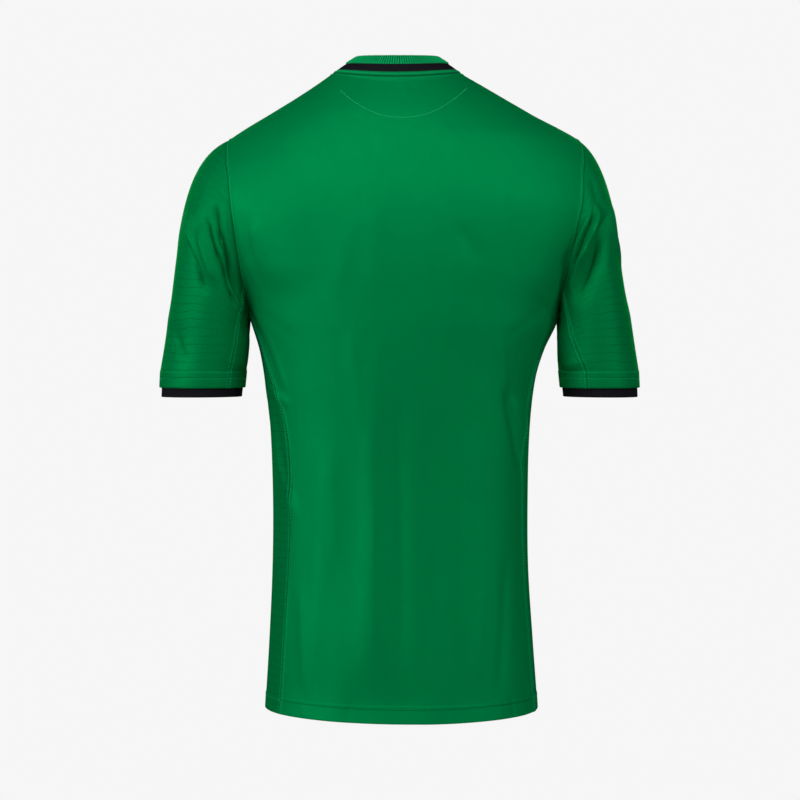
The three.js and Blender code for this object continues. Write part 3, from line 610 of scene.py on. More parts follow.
# %% Relief beside a seam
EDGE_LINES = (0, 0.45, 0.9, 1.4, 2.0, 2.6, 3.2, 3.9, 4.7, 5.8, 7.5)
VALLEY = {"depth": 0.9, "width": 0.6, "neck": 1.6, "gusset": 1.7}
WELT = {"height": 0.9, "slope": 0.8, "armhole": 3.6, "side": 2.6, "neck": 3.4, "underarm": 3, "gusset": 3.2}
GROOVE = {"depth": 0.22, "width": 0.55}
TURNING_SIDE = {"starts": 6, "run": 30}
ROUNDEST = 0.985


def spread(length, step, first=EDGE_LINES, last=EDGE_LINES):
    """Shares from 0 to 1 along a length: close together near both ends, and step apart between them."""
    start, end = np.array(first) / length, 1 - np.array(last)[::-1] / length
    count = max(2, round((end[0] - start[-1]) * length / step))
    return np.concatenate([start, np.linspace(start[-1], end[0], count + 1)[1:-1], end])


def valley(distance, wider=1.0):
    """The dip into a seam line. It is deeper and wider where a heavy piece joins on."""
    return -VALLEY["depth"] * wider**0.5 * np.exp(-((distance / VALLEY["width"] / wider) ** 2))


def welt(distance, seam):
    """The height of the cloth over the seam allowance beside one of the seams."""
    return WELT["height"] * (1 - smooth((distance - WELT[seam]) / WELT["slope"]))


def behind(points):
    """1 at the middle of the back and of the front, 0 at the sides, where relief would spoil the outline."""
    return smooth((np.abs(points[..., 1]) - TURNING_SIDE["starts"]) / TURNING_SIDE["run"])


def stitch_groove(distance, line):
    """The thread pulls the cloth in along its line."""
    return -GROOVE["depth"] * np.exp(-(((distance - line) / GROOVE["width"]) ** 2))


def roll(distance, radius):
    """The share of its thickness that a rounded edge has, at a distance from its end."""
    return np.sqrt(np.clip(1 - np.clip(1 - distance / radius, 0, ROUNDEST) ** 2, 0, 1))


def along_and_beside(points):
    """Distances on a grid of points: along each row, along each column, and from the nearer side."""
    run, climb = run_of(points, 1), run_of(points, 0)
    return run, climb, np.minimum(run, run[:, -1:] - run)


def cut_map(run, climb):
    """Places on the flat cloth, counted across from the middle column."""
    return np.stack([run - run[:, [run.shape[1] // 2]], climb], -1)


print("a welt is", WELT["height"], "mm high, and beside an armhole", WELT["armhole"], "mm wide")

# %% [markdown]
# Now the panels. Front and back share their rows, from the hem up to the underarm and then along the
# armholes, and their columns run from the left side to the right. Their top edge is a shoulder, half the
# neck and the other shoulder.

# %% Edges of the front and the back
SHOULDER_COLUMNS, NECK_COLUMNS = 6, {"back": 14, "front": 12}
SIDE_SEAMS = table(
    "z back front turn",
    (-262, 6.5, -7.2, 0),
    (-320, 12, -12, 1.5),
    (-369, 18, -17, 4),
    (-430, 21, -20, 5.5),
    (-560, 20.5, -20, 5.5),
    (-730, 20, -20, 5.5),
)


def mix(a, b, share):
    """A blend of two values, a at share 0 and b at share 1."""
    return a + (b - a) * share


def unwrapped(degrees, face):
    """Keeps the angles of a panel in one run, from the left side through its middle to the right side."""
    if face == "back":
        return np.where(degrees < -90, degrees + 360, degrees)
    return np.where(degrees > 90, degrees - 360, degrees)


def side_seam_at(z, face, side):
    seam, turn = curve(SIDE_SEAMS, z, face), curve(SIDE_SEAMS, z, "turn")
    return unwrapped(seam + turn if side > 0 else 180 - seam + turn, face)


def armhole_edge(angle, face, side):
    degrees, z = armhole_at(side, angle if face == "back" else 360 - angle)
    return unwrapped(degrees, face), z


def top_seam(face, share):
    """The top edge of a panel at shares of its columns."""
    columns = 2 * SHOULDER_COLUMNS + NECK_COLUMNS[face]
    k = np.asarray(share) * columns
    end = 180 - NECK["shoulderSeam"] if face == "back" else -180 - NECK["shoulderSeam"]
    along = np.clip((k - SHOULDER_COLUMNS) / NECK_COLUMNS[face], 0, 1)
    degrees, z = neck_at(mix(NECK["shoulderSeam"], end, along))
    degrees = unwrapped(degrees, face)
    for side, out in ((1, k / SHOULDER_COLUMNS), (-1, (columns - k) / SHOULDER_COLUMNS)):
        point = armhole_edge(0, face, side)
        degrees = np.where(out < 1, mix(point[0], degrees, np.clip(out, 0, 1)), degrees)
        z = np.where(out < 1, mix(point[1], z, np.clip(out, 0, 1)), z)
    return degrees, z


print("left side seam of the back, lowest:", side_seam_at(SIDE_SEAMS["z"][0], "back", 1).round(1), "degrees")

# %% [markdown]
# Above the underarm the grid has to fill the space between two curved armholes and the top seam. Rows are
# laid straight across first, and then each is bent so that its ends lie on the armholes.

# %% Above the underarm
LATENESS = {"back": 3, "front": 1.2}


def upper_place(face, share, across):
    """A place above the underarm line, by its share up to the top seam and its share across."""
    angle = ARMHOLE["joinAngle"] * (1 - share)
    late = share ** LATENESS[face]
    above = top_seam(face, across)
    places = (ARMHOLE["joinAngle"], angle, 0)
    under, edge, tip = ([armhole_edge(place, face, side) for side in (1, -1)] for place in places)
    place = []
    for k, rise in ((0, late), (1, share)):
        straight = mix(mix(under[0][k], under[1][k], across), above[k], rise)
        bends = [edge[n][k] - mix(under[n][k], tip[n][k], rise) for n in (0, 1)]
        place.append(straight + mix(bends[0], bends[1], across))
    return place


print("middle of the back, half way up:", [float(v.round(1)) for v in upper_place("back", 0.5, 0.5)])

# %% [markdown]
# The hem is cloth turned up and stitched, so it is thicker by a small step, round at its lower edge, and
# drawn in along its stitches. At the back it hangs a little lower. Close rows at the step keep it crisp.

# %% Hem
HEM = {"z": -718, "band": 17.5, "step": 0.5, "step_run": 1.6, "turned": 1.0, "edge": 1.5}
HEM_EDGE_ROWS = (0, 0.15, 0.4, 0.8, 1.3, 2.0)
HEM_STEP_ROWS = (-3.6, -2.8, -2.1, -1.5, -0.9, -0.4, 0, 0.4, 0.8, 1.2, 1.6, 2.4)
HEM_BAND_TOP, HEM_BAND_ROWS = 4.5, 5
HEM_STITCH = 1.9
HEM_DROP = {"back": 5.8, "lowest": 98, "fade": 200, "narrowness": 1.2}
BODY_STEP = 3.2


def hem_drop(degrees, z):
    """How far the hem hangs below its level at the back, fading out up the body."""
    nearness = np.maximum(0, np.cos(np.radians(degrees - HEM_DROP["lowest"])))
    share = np.clip(1 - (z - HEM["z"]) / HEM_DROP["fade"], 0, 1)
    return HEM_DROP["back"] * nearness ** HEM_DROP["narrowness"] * share


def hem_levels():
    """Levels from the hem's edge to the underarm."""
    top = HEM["z"] + HEM["band"]
    edge = HEM["z"] + np.array(HEM_EDGE_ROWS)
    band = np.linspace(edge[-1], top - HEM_BAND_TOP, HEM_BAND_ROWS)[1:]
    step = top + np.array(HEM_STEP_ROWS)
    under = armhole_at(1, ARMHOLE["joinAngle"])[1]
    body = np.linspace(step[-1], under, round((under - step[-1]) / BODY_STEP) + 1)
    return np.concatenate([edge, band, step, body[1:]])


def hem_reach(z):
    """Outside and inside reach of the cloth by level: double cloth in the hem, round at its edge."""
    above = z - HEM["z"] - HEM["band"]
    in_band = 1 - smooth(above / HEM["step_run"])
    round_edge = roll(z - HEM["z"], HEM["edge"])
    groove = stitch_groove(above, -HEM_STITCH)
    outer = (CLOTH / 2 + HEM["step"] * in_band + groove) * round_edge
    return outer, (CLOTH / 2 + HEM["turned"] * in_band) * round_edge


print("rows from the hem to the underarm:", len(hem_levels()))

# %% [markdown]
# The grid of a panel holds its points, their normals, how far the cloth reaches out and in, and the cut
# map. The relief of its seams is added to the outside only, and fades where the body turns to the sides.

# %% Grids of the front and the back
PANEL = {"width": 400, "armhole": 235}
NECK_DIP = 2.0
THINNEST = 0.5
SEAM_STITCH = {"armhole": 2.6, "side": 2.0, "gusset": 2.3, "neck": 2.4}


def body_grid(face):
    """Points, normals, outside and inside reach, and cut map of the front or the back."""
    across = spread(PANEL["width"], BODY_STEP)[None, :]
    low = hem_levels()
    high = 1 - np.array(EDGE_LINES)[::-1] / PANEL["armhole"]
    rows = round(high[0] * PANEL["armhole"] / BODY_STEP) + 1
    share = np.concatenate([np.linspace(0, high[0], rows)[1:-1], high])
    z = low[:, None] + 0 * across
    degrees = mix(side_seam_at(z, face, 1), side_seam_at(z, face, -1), across)
    upper = upper_place(face, share[:, None], across)
    degrees = np.concatenate([degrees, upper[0]])
    z = np.concatenate([z, upper[1]])
    dropped = z - hem_drop(degrees, z)
    points, normals = body_point(degrees, dropped), body_normal(degrees, dropped)
    outer, inner = hem_reach(np.concatenate([low, np.full(len(share), low[-1])])[:, None] + 0 * across)
    run, climb, beside = along_and_beside(points)
    below_top = climb[-1:] - climb
    at_side, at_armhole = (welt(beside, seam) + stitch_groove(beside, SEAM_STITCH[seam])
                           for seam in ("side", "armhole"))
    relief = np.where((np.arange(len(z)) >= len(low))[:, None], at_armhole, at_side)
    above = welt(below_top, "neck") + stitch_groove(below_top, SEAM_STITCH["neck"])
    neck_valley = NECK_DIP * behind(points) * valley(below_top, VALLEY["neck"])
    outer = outer + np.maximum(relief, above) * behind(points) + np.minimum(valley(beside), neck_valley)
    return points, normals, outer, np.maximum(inner, THINNEST - outer), cut_map(run, climb)


for face in ("back", "front"):
    grid = body_grid(face)
    print(face, "grid", grid[0].shape[:2], "widest", round(float(grid[4][..., 0].max() * 2)), "mm")

# %% [markdown]
# The knit. The jersey is polyester yarn knitted so fine that its loops are about a millimetre across, so a
# picture of weave would be lost: what shows is a satin sheen, faint columns of loops, and on the sleeves and
# side panels thin lines across the cloth about 9.5 mm apart. Columns and lines are worked out from the cut
# map, which is in metres along the thread, so they keep their scale on every panel. The sheen is tinted
# green, because light that glances off dyed fibres passes through many of them first.

# %% Node helpers
def link(tree, source, target):
    tree.links.new(source, target)


def math_node(tree, operation, first, second=None, third=None, clamp=False):
    """A Math node on numbers or sockets, and its output."""
    node = tree.nodes.new("ShaderNodeMath")
    node.operation = operation
    node.use_clamp = clamp
    for socket, value in zip(node.inputs, (first, second, third)):
        if value is None:
            continue
        if isinstance(value, (int, float)):
            socket.default_value = value
        else:
            link(tree, value, socket)
    return node.outputs[0]


def cut_millimetres(tree):
    """The place on the flat cloth, across and along, in millimetres."""
    node = tree.nodes.new("ShaderNodeUVMap")
    node.uv_map = "cut"
    split = tree.nodes.new("ShaderNodeSeparateXYZ")
    link(tree, node.outputs[0], split.inputs[0])
    return tuple(math_node(tree, "MULTIPLY", split.outputs[k], 1 / MM) for k in (0, 1))


def noise(tree, across, along, size_across, size_along):
    """Soft noise from 0 to 1 with patches of a given size in millimetres."""
    place = tree.nodes.new("ShaderNodeCombineXYZ")
    link(tree, math_node(tree, "DIVIDE", across, size_across), place.inputs[0])
    link(tree, math_node(tree, "DIVIDE", along, size_along), place.inputs[1])
    node = tree.nodes.new("ShaderNodeTexNoise")
    node.inputs["Scale"].default_value = 1
    node.inputs["Detail"].default_value = 2
    link(tree, place.outputs[0], node.inputs["Vector"])
    return node.outputs[0]


print("node helpers ready")

# %% [markdown]
# The sizes of the knit are in millimetres, and the colours are the shares of red, green and blue light that
# the cloth throws back. Sleeves and side panels are a little darker than the body. Thread is a little
# brighter than the cloth, and the hems' thread is darker, with painted shade for the groove it is sunk in.

# %% Colours and sizes of the knit
KNIT = {"wale": 1.1, "course": 0.8, "row_share": 0.35, "relief": 0.0003,
        "streak": (2.2, 60), "patch": (45, 70), "uneven": 0.08, "dull_patch": (12, 20), "dull_change": 0.12}
LINE = {"spacing": 9.5, "width": 0.8, "waver": 6.5, "waver_patch": (34, 22), "relief": 1.8,
        "gap_patch": (18, 9), "gap_change": 1.7, "gap_middle": 0.65, "turn_run": 50, "light": 0.8}
RIB_PITCH = 2.5
ARCH_MEAN = 1 / 1.57
GREEN = (0.0, 0.225, 0.061)
SLEEVE_GREEN = (0.0, 0.2, 0.052)
SIDE_GREEN = (0.0, 0.18, 0.047)
COLLAR_GREEN = (0.003, 0.3, 0.09)
THREAD_GREEN = (0.008, 0.36, 0.13)
# Painted shade: thread darker where it is sunk in the hem's groove.
THREAD_IN_PAINTED_SHADE_GREEN = (0.0, 0.11, 0.035)
BRIGHT_THREAD_GREEN = (0.03, 0.5, 0.22)
DARK = (0.011, 0.0105, 0.014)
TINT_OF_SHINE = 3
print("columns of loops", KNIT["wale"], "mm apart, rows", KNIT["course"], "mm, ribs", RIB_PITCH, "mm")

# %% [markdown]
# The patterns are worked out by nodes. A picture could hold them too, but it would blur close up. The lines
# across waver a little and come and go, as they do on a knit that is stretched over an arm, and above the
# bend of the shoulder they are drawn lighter, a painted highlight for the light they catch there.

# %% Patterns of the knit
def arches(tree, place, pitch):
    """Rounded ridges side by side, 1 high."""
    turn = math_node(tree, "MULTIPLY", place, math.pi / pitch)
    return math_node(tree, "ABSOLUTE", math_node(tree, "SINE", turn))


def loops(tree, across, along):
    """The height of a fine knit: rounded columns of loops, crossed by shallower rows."""
    row = math_node(tree, "MULTIPLY", arches(tree, along, KNIT["course"]), KNIT["row_share"])
    return math_node(tree, "MULTIPLY_ADD", arches(tree, across, KNIT["wale"]), 1 - KNIT["row_share"], row)


def varied(tree, across, along, sizes, amount, middle=1.0):
    """A value that wanders by an amount about its middle."""
    return math_node(tree, "MULTIPLY_ADD", noise(tree, across, along, *sizes), amount, middle - amount / 2)


def cross_line(tree, across, along):
    """1 on thin wavy lines across the cloth, 0 between them."""
    shift = noise(tree, across, along, *LINE["waver_patch"])
    waver = math_node(tree, "MULTIPLY_ADD", shift, LINE["waver"], along)
    row = math_node(tree, "FRACT", math_node(tree, "DIVIDE", waver, LINE["spacing"]))
    off = math_node(tree, "ABSOLUTE", math_node(tree, "SUBTRACT", row, 0.5))
    far = math_node(tree, "DIVIDE", off, LINE["width"] / LINE["spacing"])
    return math_node(tree, "SUBTRACT", 1, far, clamp=True)


def dimmed(tree, value, pattern, amount):
    """A value made darker by an amount where a pattern is 1."""
    return math_node(tree, "MULTIPLY", value, math_node(tree, "MULTIPLY_ADD", pattern, -amount, 1))


def faint_lines(tree, across, along, line, turn):
    """The lines across, broken up so that they come and go. Above the height turn they carry a painted
    highlight.
    """
    gaps = varied(tree, across, along, LINE["gap_patch"], LINE["gap_change"], LINE["gap_middle"])
    faint = math_node(tree, "MULTIPLY", line, gaps)
    if not turn:
        return faint
    # Painted highlight: above the height turn the lines are made lighter than the cloth.
    run, light = LINE["turn_run"], LINE["light"]
    low = math_node(tree, "MULTIPLY_ADD", along, -1 / run, turn / run + 0.5, clamp=True)
    return math_node(tree, "MULTIPLY", faint, math_node(tree, "MULTIPLY_ADD", low, 1 + light, -light))


print("the lines across are", LINE["spacing"], "mm apart")

# %% [markdown]
# One function makes every finish of the cloth. Each could be built by hand in the shader editor, but then a
# change of the knit would have to be made nine times. The colour is dimmed by the patterns, and the height of
# the loops goes into a bump, because loops as fine as these are too small for geometry.

# %% Cloth materials
def cloth_material(name, colour, roughness=0.5, satin=0.3, bump=0.35, lines=0.0, rib=0.0,
                   turn=0.0, painted_shade_bands=()):
    """Knitted cloth. satin is how much it shines in its own colour, lines how dark the lines across it are.

    rib is how strongly painted shade darkens the valleys of a rib knit and a painted highlight lightens
    its crests, and turn is the height above which the lines carry a painted highlight. Each band of
    painted shade stands for the shadow where the cloth turns under: its place and half width along the
    cloth, and how dark it is.
    """
    material = bpy.data.materials.new(name)
    material.use_nodes = True
    tree = material.node_tree
    shader = tree.nodes["Principled BSDF"]
    across, along = cut_millimetres(tree)
    height = loops(tree, across, along)
    value = math_node(tree, "MULTIPLY", varied(tree, across, along, KNIT["streak"], KNIT["uneven"]),
                      varied(tree, across, along, KNIT["patch"], KNIT["uneven"]))
    if lines:
        line = cross_line(tree, across, along)
        value = dimmed(tree, value, faint_lines(tree, across, along, line, turn), lines)
        height = math_node(tree, "MULTIPLY_ADD", line, -LINE["relief"], height)
    # Painted shade: each band darkens the colour where the cloth turns under into shadow.
    for place, width, amount in painted_shade_bands:
        off = math_node(tree, "ABSOLUTE", math_node(tree, "SUBTRACT", along, place))
        band = math_node(tree, "SUBTRACT", 1, math_node(tree, "DIVIDE", off, width), clamp=True)
        value = dimmed(tree, value, band, amount)
    # Painted shade in the rib valleys and a painted highlight on the crests.
    if rib:
        rib_painted_light_and_shade = math_node(tree, "MULTIPLY_ADD", arches(tree, across, RIB_PITCH), rib / ARCH_MEAN, 1 - rib)
        value = math_node(tree, "MULTIPLY", value, rib_painted_light_and_shade)
    tint = tree.nodes.new("ShaderNodeMix")
    tint.data_type = "RGBA"
    tint.blend_type = "MULTIPLY"
    tint.inputs["Factor"].default_value = 1
    tint.inputs["A"].default_value = (*colour, 1)
    link(tree, value, tint.inputs["B"])
    link(tree, tint.outputs["Result"], shader.inputs["Base Color"])
    relief = tree.nodes.new("ShaderNodeBump")
    relief.inputs["Strength"].default_value = bump
    relief.inputs["Distance"].default_value = KNIT["relief"]
    link(tree, height, relief.inputs["Height"])
    link(tree, relief.outputs[0], shader.inputs["Normal"])
    dullness = varied(tree, across, along, KNIT["dull_patch"], KNIT["dull_change"], roughness)
    link(tree, dullness, shader.inputs["Roughness"])
    shader.inputs["Metallic"].default_value = satin
    shader.inputs["Specular IOR Level"].default_value = 0.0
    shader.inputs["Specular Tint"].default_value = (*(min(1.0, TINT_OF_SHINE * c) for c in colour), 1)
    return material


BODY_KNIT = cloth_material("body_knit", GREEN)
# The sleeve's lines carry a painted highlight near the shoulder, above turn.
SLEEVE_KNIT = cloth_material("sleeve_knit", SLEEVE_GREEN, lines=0.25, turn=150)
SIDE_KNIT = cloth_material("side_knit", SIDE_GREEN, lines=0.25)
# Painted shade bands on the binding: in the dip at the neck seam and near its top edge.
BINDING_PAINTED_SHADE_BANDS = ((1.6, 1.5, 0.75), (7.6, 2.4, 0.4))
BINDING_KNIT = cloth_material("binding_knit", COLLAR_GREEN, roughness=0.7, satin=0.1, bump=0.6,
                              painted_shade_bands=BINDING_PAINTED_SHADE_BANDS)
# The rib knit's colour carries painted shade in its valleys and a painted highlight on its crests.
RIB_KNIT = cloth_material("rib_knit", COLLAR_GREEN, roughness=0.7, satin=0.1, bump=0.6, rib=0.6)
DARK_TRIM = cloth_material("dark_trim", DARK, roughness=0.6, satin=0.0, bump=0.6)
THREAD = cloth_material("thread", THREAD_GREEN, satin=0.1, bump=0.1)
# Painted shade: the hems' thread is darker for the groove it lies in.
THREAD_IN_PAINTED_SHADE = cloth_material("thread_in_painted_shade", THREAD_IN_PAINTED_SHADE_GREEN, satin=0.1, bump=0.1)
BRIGHT_THREAD = cloth_material("bright_thread", BRIGHT_THREAD_GREEN, satin=0.1, bump=0.1)
print("cloth materials:", len(bpy.data.materials))

# %% [markdown]
# The front and the back are made from the grids above. They are the largest pieces of the jersey, and the
# grid is about 3 mm fine, so that soft folds stay round when light grazes them.

# %% Front and back
pieces = {}


def sewn_piece(name, grid, material, closed=False):
    """Makes a piece from its grid and material, hides the part's solid of that name, and hangs it on the root
    body.
    """
    made = shell(name + "_cloth", *grid, material, closed)
    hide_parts(name)
    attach(made, "root")
    pieces[name] = {"object": made, "points": grid[0], "normals": grid[1], "outer": grid[2]}
    print(name, "has", 2 * len(made.data.polygons), "triangles")


for face in ("back", "front"):
    sewn_piece(face + "_panel", body_grid(face), BODY_KNIT)

# %% [markdown]
# The side panels run from the hem to the underarm. At the top each ends on the lowest stretch of the
# armhole, where the two gussets of the sleeve begin, so its last rows bend up to that curve.

# %% Side panels
UNDERARM_BEND = 24
SIDE_PANEL_WIDTH = 62
SIDES = {1: "left", -1: "right"}


def from_behind(degrees):
    """Angles in one run from -90, so that a side panel isn't split at its middle."""
    return np.mod(degrees + 90, 360) - 90


def side_grid(side):
    """The grid of a side panel, from its front seam to its back seam."""
    low = hem_levels()
    across = spread(SIDE_PANEL_WIDTH, BODY_STEP)[None, :]
    z = low[:, None] + 0 * across
    edges = [from_behind(side_seam_at(z, face, side)) for face in ("front", "back")]
    degrees = mix(edges[0], edges[1], across)
    under = 180 - ARMHOLE["joinAngle"]
    top = armhole_at(side, mix(180 + under, 180 - under, across))
    bend = np.clip(1 - (low[-1] - low) / UNDERARM_BEND, 0, 1)[:, None]
    degrees = mix(degrees, from_behind(top[0]), bend)
    z = z + (top[1] - low[-1]) * bend
    dropped = z - hem_drop(degrees, z)
    points, normals = body_point(degrees, dropped), body_normal(degrees, dropped)
    outer, inner = hem_reach(low[:, None] + 0 * across)
    run, climb, beside = along_and_beside(points)
    below_top = climb[-1:] - climb
    relief = np.maximum(welt(beside, "side") + stitch_groove(beside, SEAM_STITCH["side"]),
                        welt(below_top, "underarm"))
    outer = outer + relief + np.minimum(valley(beside), valley(below_top))
    return points, normals, outer, inner, cut_map(run, climb)


for side, word in SIDES.items():
    sewn_piece("side_panel_" + word, side_grid(side), SIDE_KNIT)

# %% [markdown]
# A sleeve is one wide piece round the outside of the arm and a narrow gusset under it. Both are patches of
# the same surface. The hem band at the end is double cloth, with two rows of stitches in its upper half.

# %% Sleeves and gussets
SLEEVE_MAIN_ANGLE = ARMHOLE["joinAngle"] * 10 / 12
SLEEVE_STEP = 1.8
SLEEVE = {"width": 300, "length": 230}
GUSSET = {"width": 95, "length": 90}
ABOVE_BAND = (0, 0.8, 1.6, 2.6)
BAND_ROWS = (0.5, 1.0, 1.6, 2.0, 2.4, 3.2, 5, 7, 8.2, 8.6, 9.0, 9.4, 9.8,
             12, 15, 17.6, 18.6, 19.2, 19.6, 19.85, 20)
CUFF_STITCHES = (2.0, 9.0)
CAP_BOW, CAP_BOW_ENDS = 26, 0.7


def sleeve_rows(length):
    """Shares from the armhole (0) over the band's top (1) to the cuff (2)."""
    open_cloth = spread(length, SLEEVE_STEP, last=ABOVE_BAND)
    return np.concatenate([open_cloth, 1 + np.array(BAND_ROWS) / CUFF["band"]])


def sleeve_grid(side, start, end, size):
    """The grid of a sleeve's piece between two angles, for a piece of about that size in millimetres."""
    t = sleeve_rows(size["length"])[:, None]
    angles = mix(start, end, spread(size["width"], SLEEVE_STEP))[None, :]
    points, normals = sleeve_point(side, angles, t), sleeve_normal(side, angles, t)
    down = (t - 1) * CUFF["band"]
    in_band = smooth(down / HEM["step_run"])
    round_edge = roll(CUFF["band"] - np.maximum(down, 0), HEM["edge"])
    groove = sum(stitch_groove(down, line) for line in CUFF_STITCHES)
    outer = (CLOTH / 2 + HEM["step"] * in_band + groove) * round_edge + 0 * angles
    inner = (CLOTH / 2 + HEM["turned"] * in_band) * round_edge + 0 * angles
    run, fall, beside = along_and_beside(points)
    outer = outer + welt(beside, "gusset") + stitch_groove(beside, SEAM_STITCH["gusset"])
    outer = outer + np.minimum(valley(beside, VALLEY["gusset"]), valley(fall))
    bow = CAP_BOW * (1 - np.cos(np.radians(angles))) * (1 - smooth(t / CAP_BOW_ENDS))
    return points, normals, outer, np.maximum(inner, THINNEST - outer), cut_map(run, fall[-1:] - fall + bow)


for side, word in SIDES.items():
    grid = sleeve_grid(side, -SLEEVE_MAIN_ANGLE, SLEEVE_MAIN_ANGLE, SLEEVE)
    sewn_piece("sleeve_" + word, grid, SLEEVE_KNIT)
    grid = sleeve_grid(side, SLEEVE_MAIN_ANGLE, 360 - SLEEVE_MAIN_ANGLE, GUSSET)
    sewn_piece("sleeve_gusset_" + word, grid, BODY_KNIT)

# %% [markdown]
# The cuff trim is a dark tube inside the end of each sleeve that stands out about 10 mm below it. It is
# closed all round, so its grid joins up with itself.

# %% Cuff trims
ROUND_ANGLES = np.linspace(0, 360, 160, endpoint=False)[None, :]
GAP_BETWEEN_PIECES = 0.3
TRIM_ROWS = {"top": (0, 0.3, 0.8), "middle": 8, "edge": (1.2, 0.7, 0.35, 0.1, 0), "rounding": 0.7}
TRIM_FACES = 1.5


def closed_cut(points, along):
    """The cut map of a closed grid: one more column than the grid has, for the join."""
    run = run_of(np.concatenate([points, points[:, :1]], axis=1), 1)
    return np.stack([run, np.broadcast_to(along[:, None], run.shape)], -1)


def trim_grid(side):
    """The grid of a cuff trim, from its hidden top edge down to its rounded lower edge."""
    inset = CLOTH / 2 + HEM["turned"] + GAP_BETWEEN_PIECES + CUFF["trimCloth"] / 2
    length = CUFF["trimInside"] + CUFF["trimShows"]
    middle = np.linspace(2, length - 2, TRIM_ROWS["middle"])
    down = np.array([*TRIM_ROWS["top"], *middle, *(length - row for row in TRIM_ROWS["edge"])])
    t = 2 + (down - CUFF["trimInside"]) / CUFF["band"]
    normals = sleeve_normal(side, ROUND_ANGLES, TRIM_FACES + 0 * t[:, None])
    points = plain_sleeve_point(side, ROUND_ANGLES, t[:, None]) - inset * normals
    half = (CUFF["trimCloth"] / 2 * roll(length - down, TRIM_ROWS["rounding"]))[:, None] + 0 * points[..., 0]
    return points, normals, half, half, closed_cut(points, length - down)


for side, word in SIDES.items():
    sewn_piece("cuff_trim_" + word, trim_grid(side), DARK_TRIM, closed=True)

# %% [markdown]
# The collar has three bands: a bright binding on the neck seam, a dark stripe, and the ribbed edge. Their
# points lie on lines round the neck, close together at both edges of a band, where it turns in.

# %% Lines of the collar
RIBS_A_COLUMN = 5
RIBS = RIBS_A_COLUMN * sum(NECK_COLUMNS.values())
COLLAR_EDGE = {"rows": (0, 0.15, 0.4, 0.8, 1.4), "middle_rows": 9, "share": 0.55, "seam": 1.1, "top": 1.0}


def collar_angles(count):
    """Angles round the neck, at even shares of the ribs, which lie a little closer at the front."""
    k = np.arange(count) / count * sum(NECK_COLUMNS.values())
    back = NECK_COLUMNS["back"]
    start, end = NECK["shoulderSeam"], 180 - NECK["shoulderSeam"]
    on_front = mix(end, 360 + start, (k - back) / NECK_COLUMNS["front"])
    return np.where(k < back, mix(start, end, k / back), on_front), k


def band_rows(wide):
    """Lines along a band of the collar, and how far each is from the nearer edge."""
    edge = np.array(COLLAR_EDGE["rows"])
    lines = np.concatenate([edge, np.linspace(2, wide - 2, COLLAR_EDGE["middle_rows"]), wide - edge[::-1]])
    return lines, np.minimum(lines, wide - lines)


print("ribs:", RIBS)

# %% [markdown]
# The binding is doubled over, so it stands out as a soft roll, and it dips into the neck seam; its colour
# has painted shade in that dip and near its top edge. The ribs are knitted in. They could be painted on as
# stripes, but as real ridges they catch the light from all sides, and their colour adds painted shade in the
# valleys and a painted highlight on the crests.

# %% Bands of the collar
RIB = {"height": 1.3, "roundness": 0.8, "fade": 0.9}
BINDING_DIP = {"depth": 1.4, "width": 1.6}
BINDING_ROLL = {"height": 1.9, "middle": 3.9, "width": 1.3, "fade": 1.5}
FLAT_BINDING = 0.8
COLLAR_CLOTH = {"binding": 1.8, "stripe": 1.4, "rib": 1.6}


def band_swell(band, lines, edge, wide, thick):
    """The share of its half thickness that a band's outside has on each line."""
    swell = COLLAR_EDGE["share"] + (1 - COLLAR_EDGE["share"]) * roll(edge, COLLAR_EDGE["seam"])
    if band == "rib":
        return np.where(lines > wide / 2, roll(edge, COLLAR_EDGE["top"]), swell)
    if band == "binding":
        off = (lines - BINDING_ROLL["middle"]) / BINDING_ROLL["width"]
        fade = smooth(edge / BINDING_ROLL["fade"])
        return swell + BINDING_ROLL["height"] / (thick / 2) * np.exp(-off * off) * fade
    return swell


def collar_grid(band, start, wide, count):
    """One band of the collar, from its distance from the neck seam and its width."""
    lines, edge = band_rows(wide)
    angles, k = collar_angles(count)
    out = start + wide * (lines / wide)
    share = (out / sum(COLLAR[part] for part in COLLAR_CLOTH))[:, None]
    points, normals = collar_point(angles[None, :], share), collar_normal(angles[None, :], share)
    thick = COLLAR_CLOTH[band]
    outer = (thick / 2 * band_swell(band, lines, edge, wide, thick))[:, None] + 0 * points[..., 0]
    inner = outer.copy()
    cut = closed_cut(points, out)
    if band == "binding":
        dip = BINDING_DIP["depth"] * np.exp(-((lines / BINDING_DIP["width"]) ** 2))
        outer = mix(thick / 2 * FLAT_BINDING, outer - dip[:, None], behind(points))
        inner = np.maximum(inner, THINNEST - outer)
    if band == "rib":
        ridge = np.abs(np.sin(math.pi * RIBS_A_COLUMN * k))[None, :] ** RIB["roundness"]
        outer = outer + RIB["height"] * ridge * smooth(edge / RIB["fade"])[:, None]
        cut[..., 0] = RIB_PITCH * RIBS_A_COLUMN * np.append(k, sum(NECK_COLUMNS.values()))
    return points, normals, outer, inner, cut


BANDS = {
    "binding": (BINDING_KNIT, "collar_knit", 312),
    "stripe": (DARK_TRIM, "dark_trim", 312),
    "rib": (RIB_KNIT, "collar_knit", RIBS * 8),
}
start = 0
for band, (material, slot_name, count) in BANDS.items():
    grid = collar_grid(band, start, COLLAR[band], count)
    sewn_piece("collar_" + band, grid, material, closed=True)
    start += COLLAR[band]

# %% [markdown]
# Sewing. Each seam is topstitched beside the join, in the groove that the thread pulls into the cloth. Each
# line of stitches is traced on its panel at a set distance from an edge, and then cut into even steps.

# %% Lines for stitches
DIRECTION_STEP = 0.3


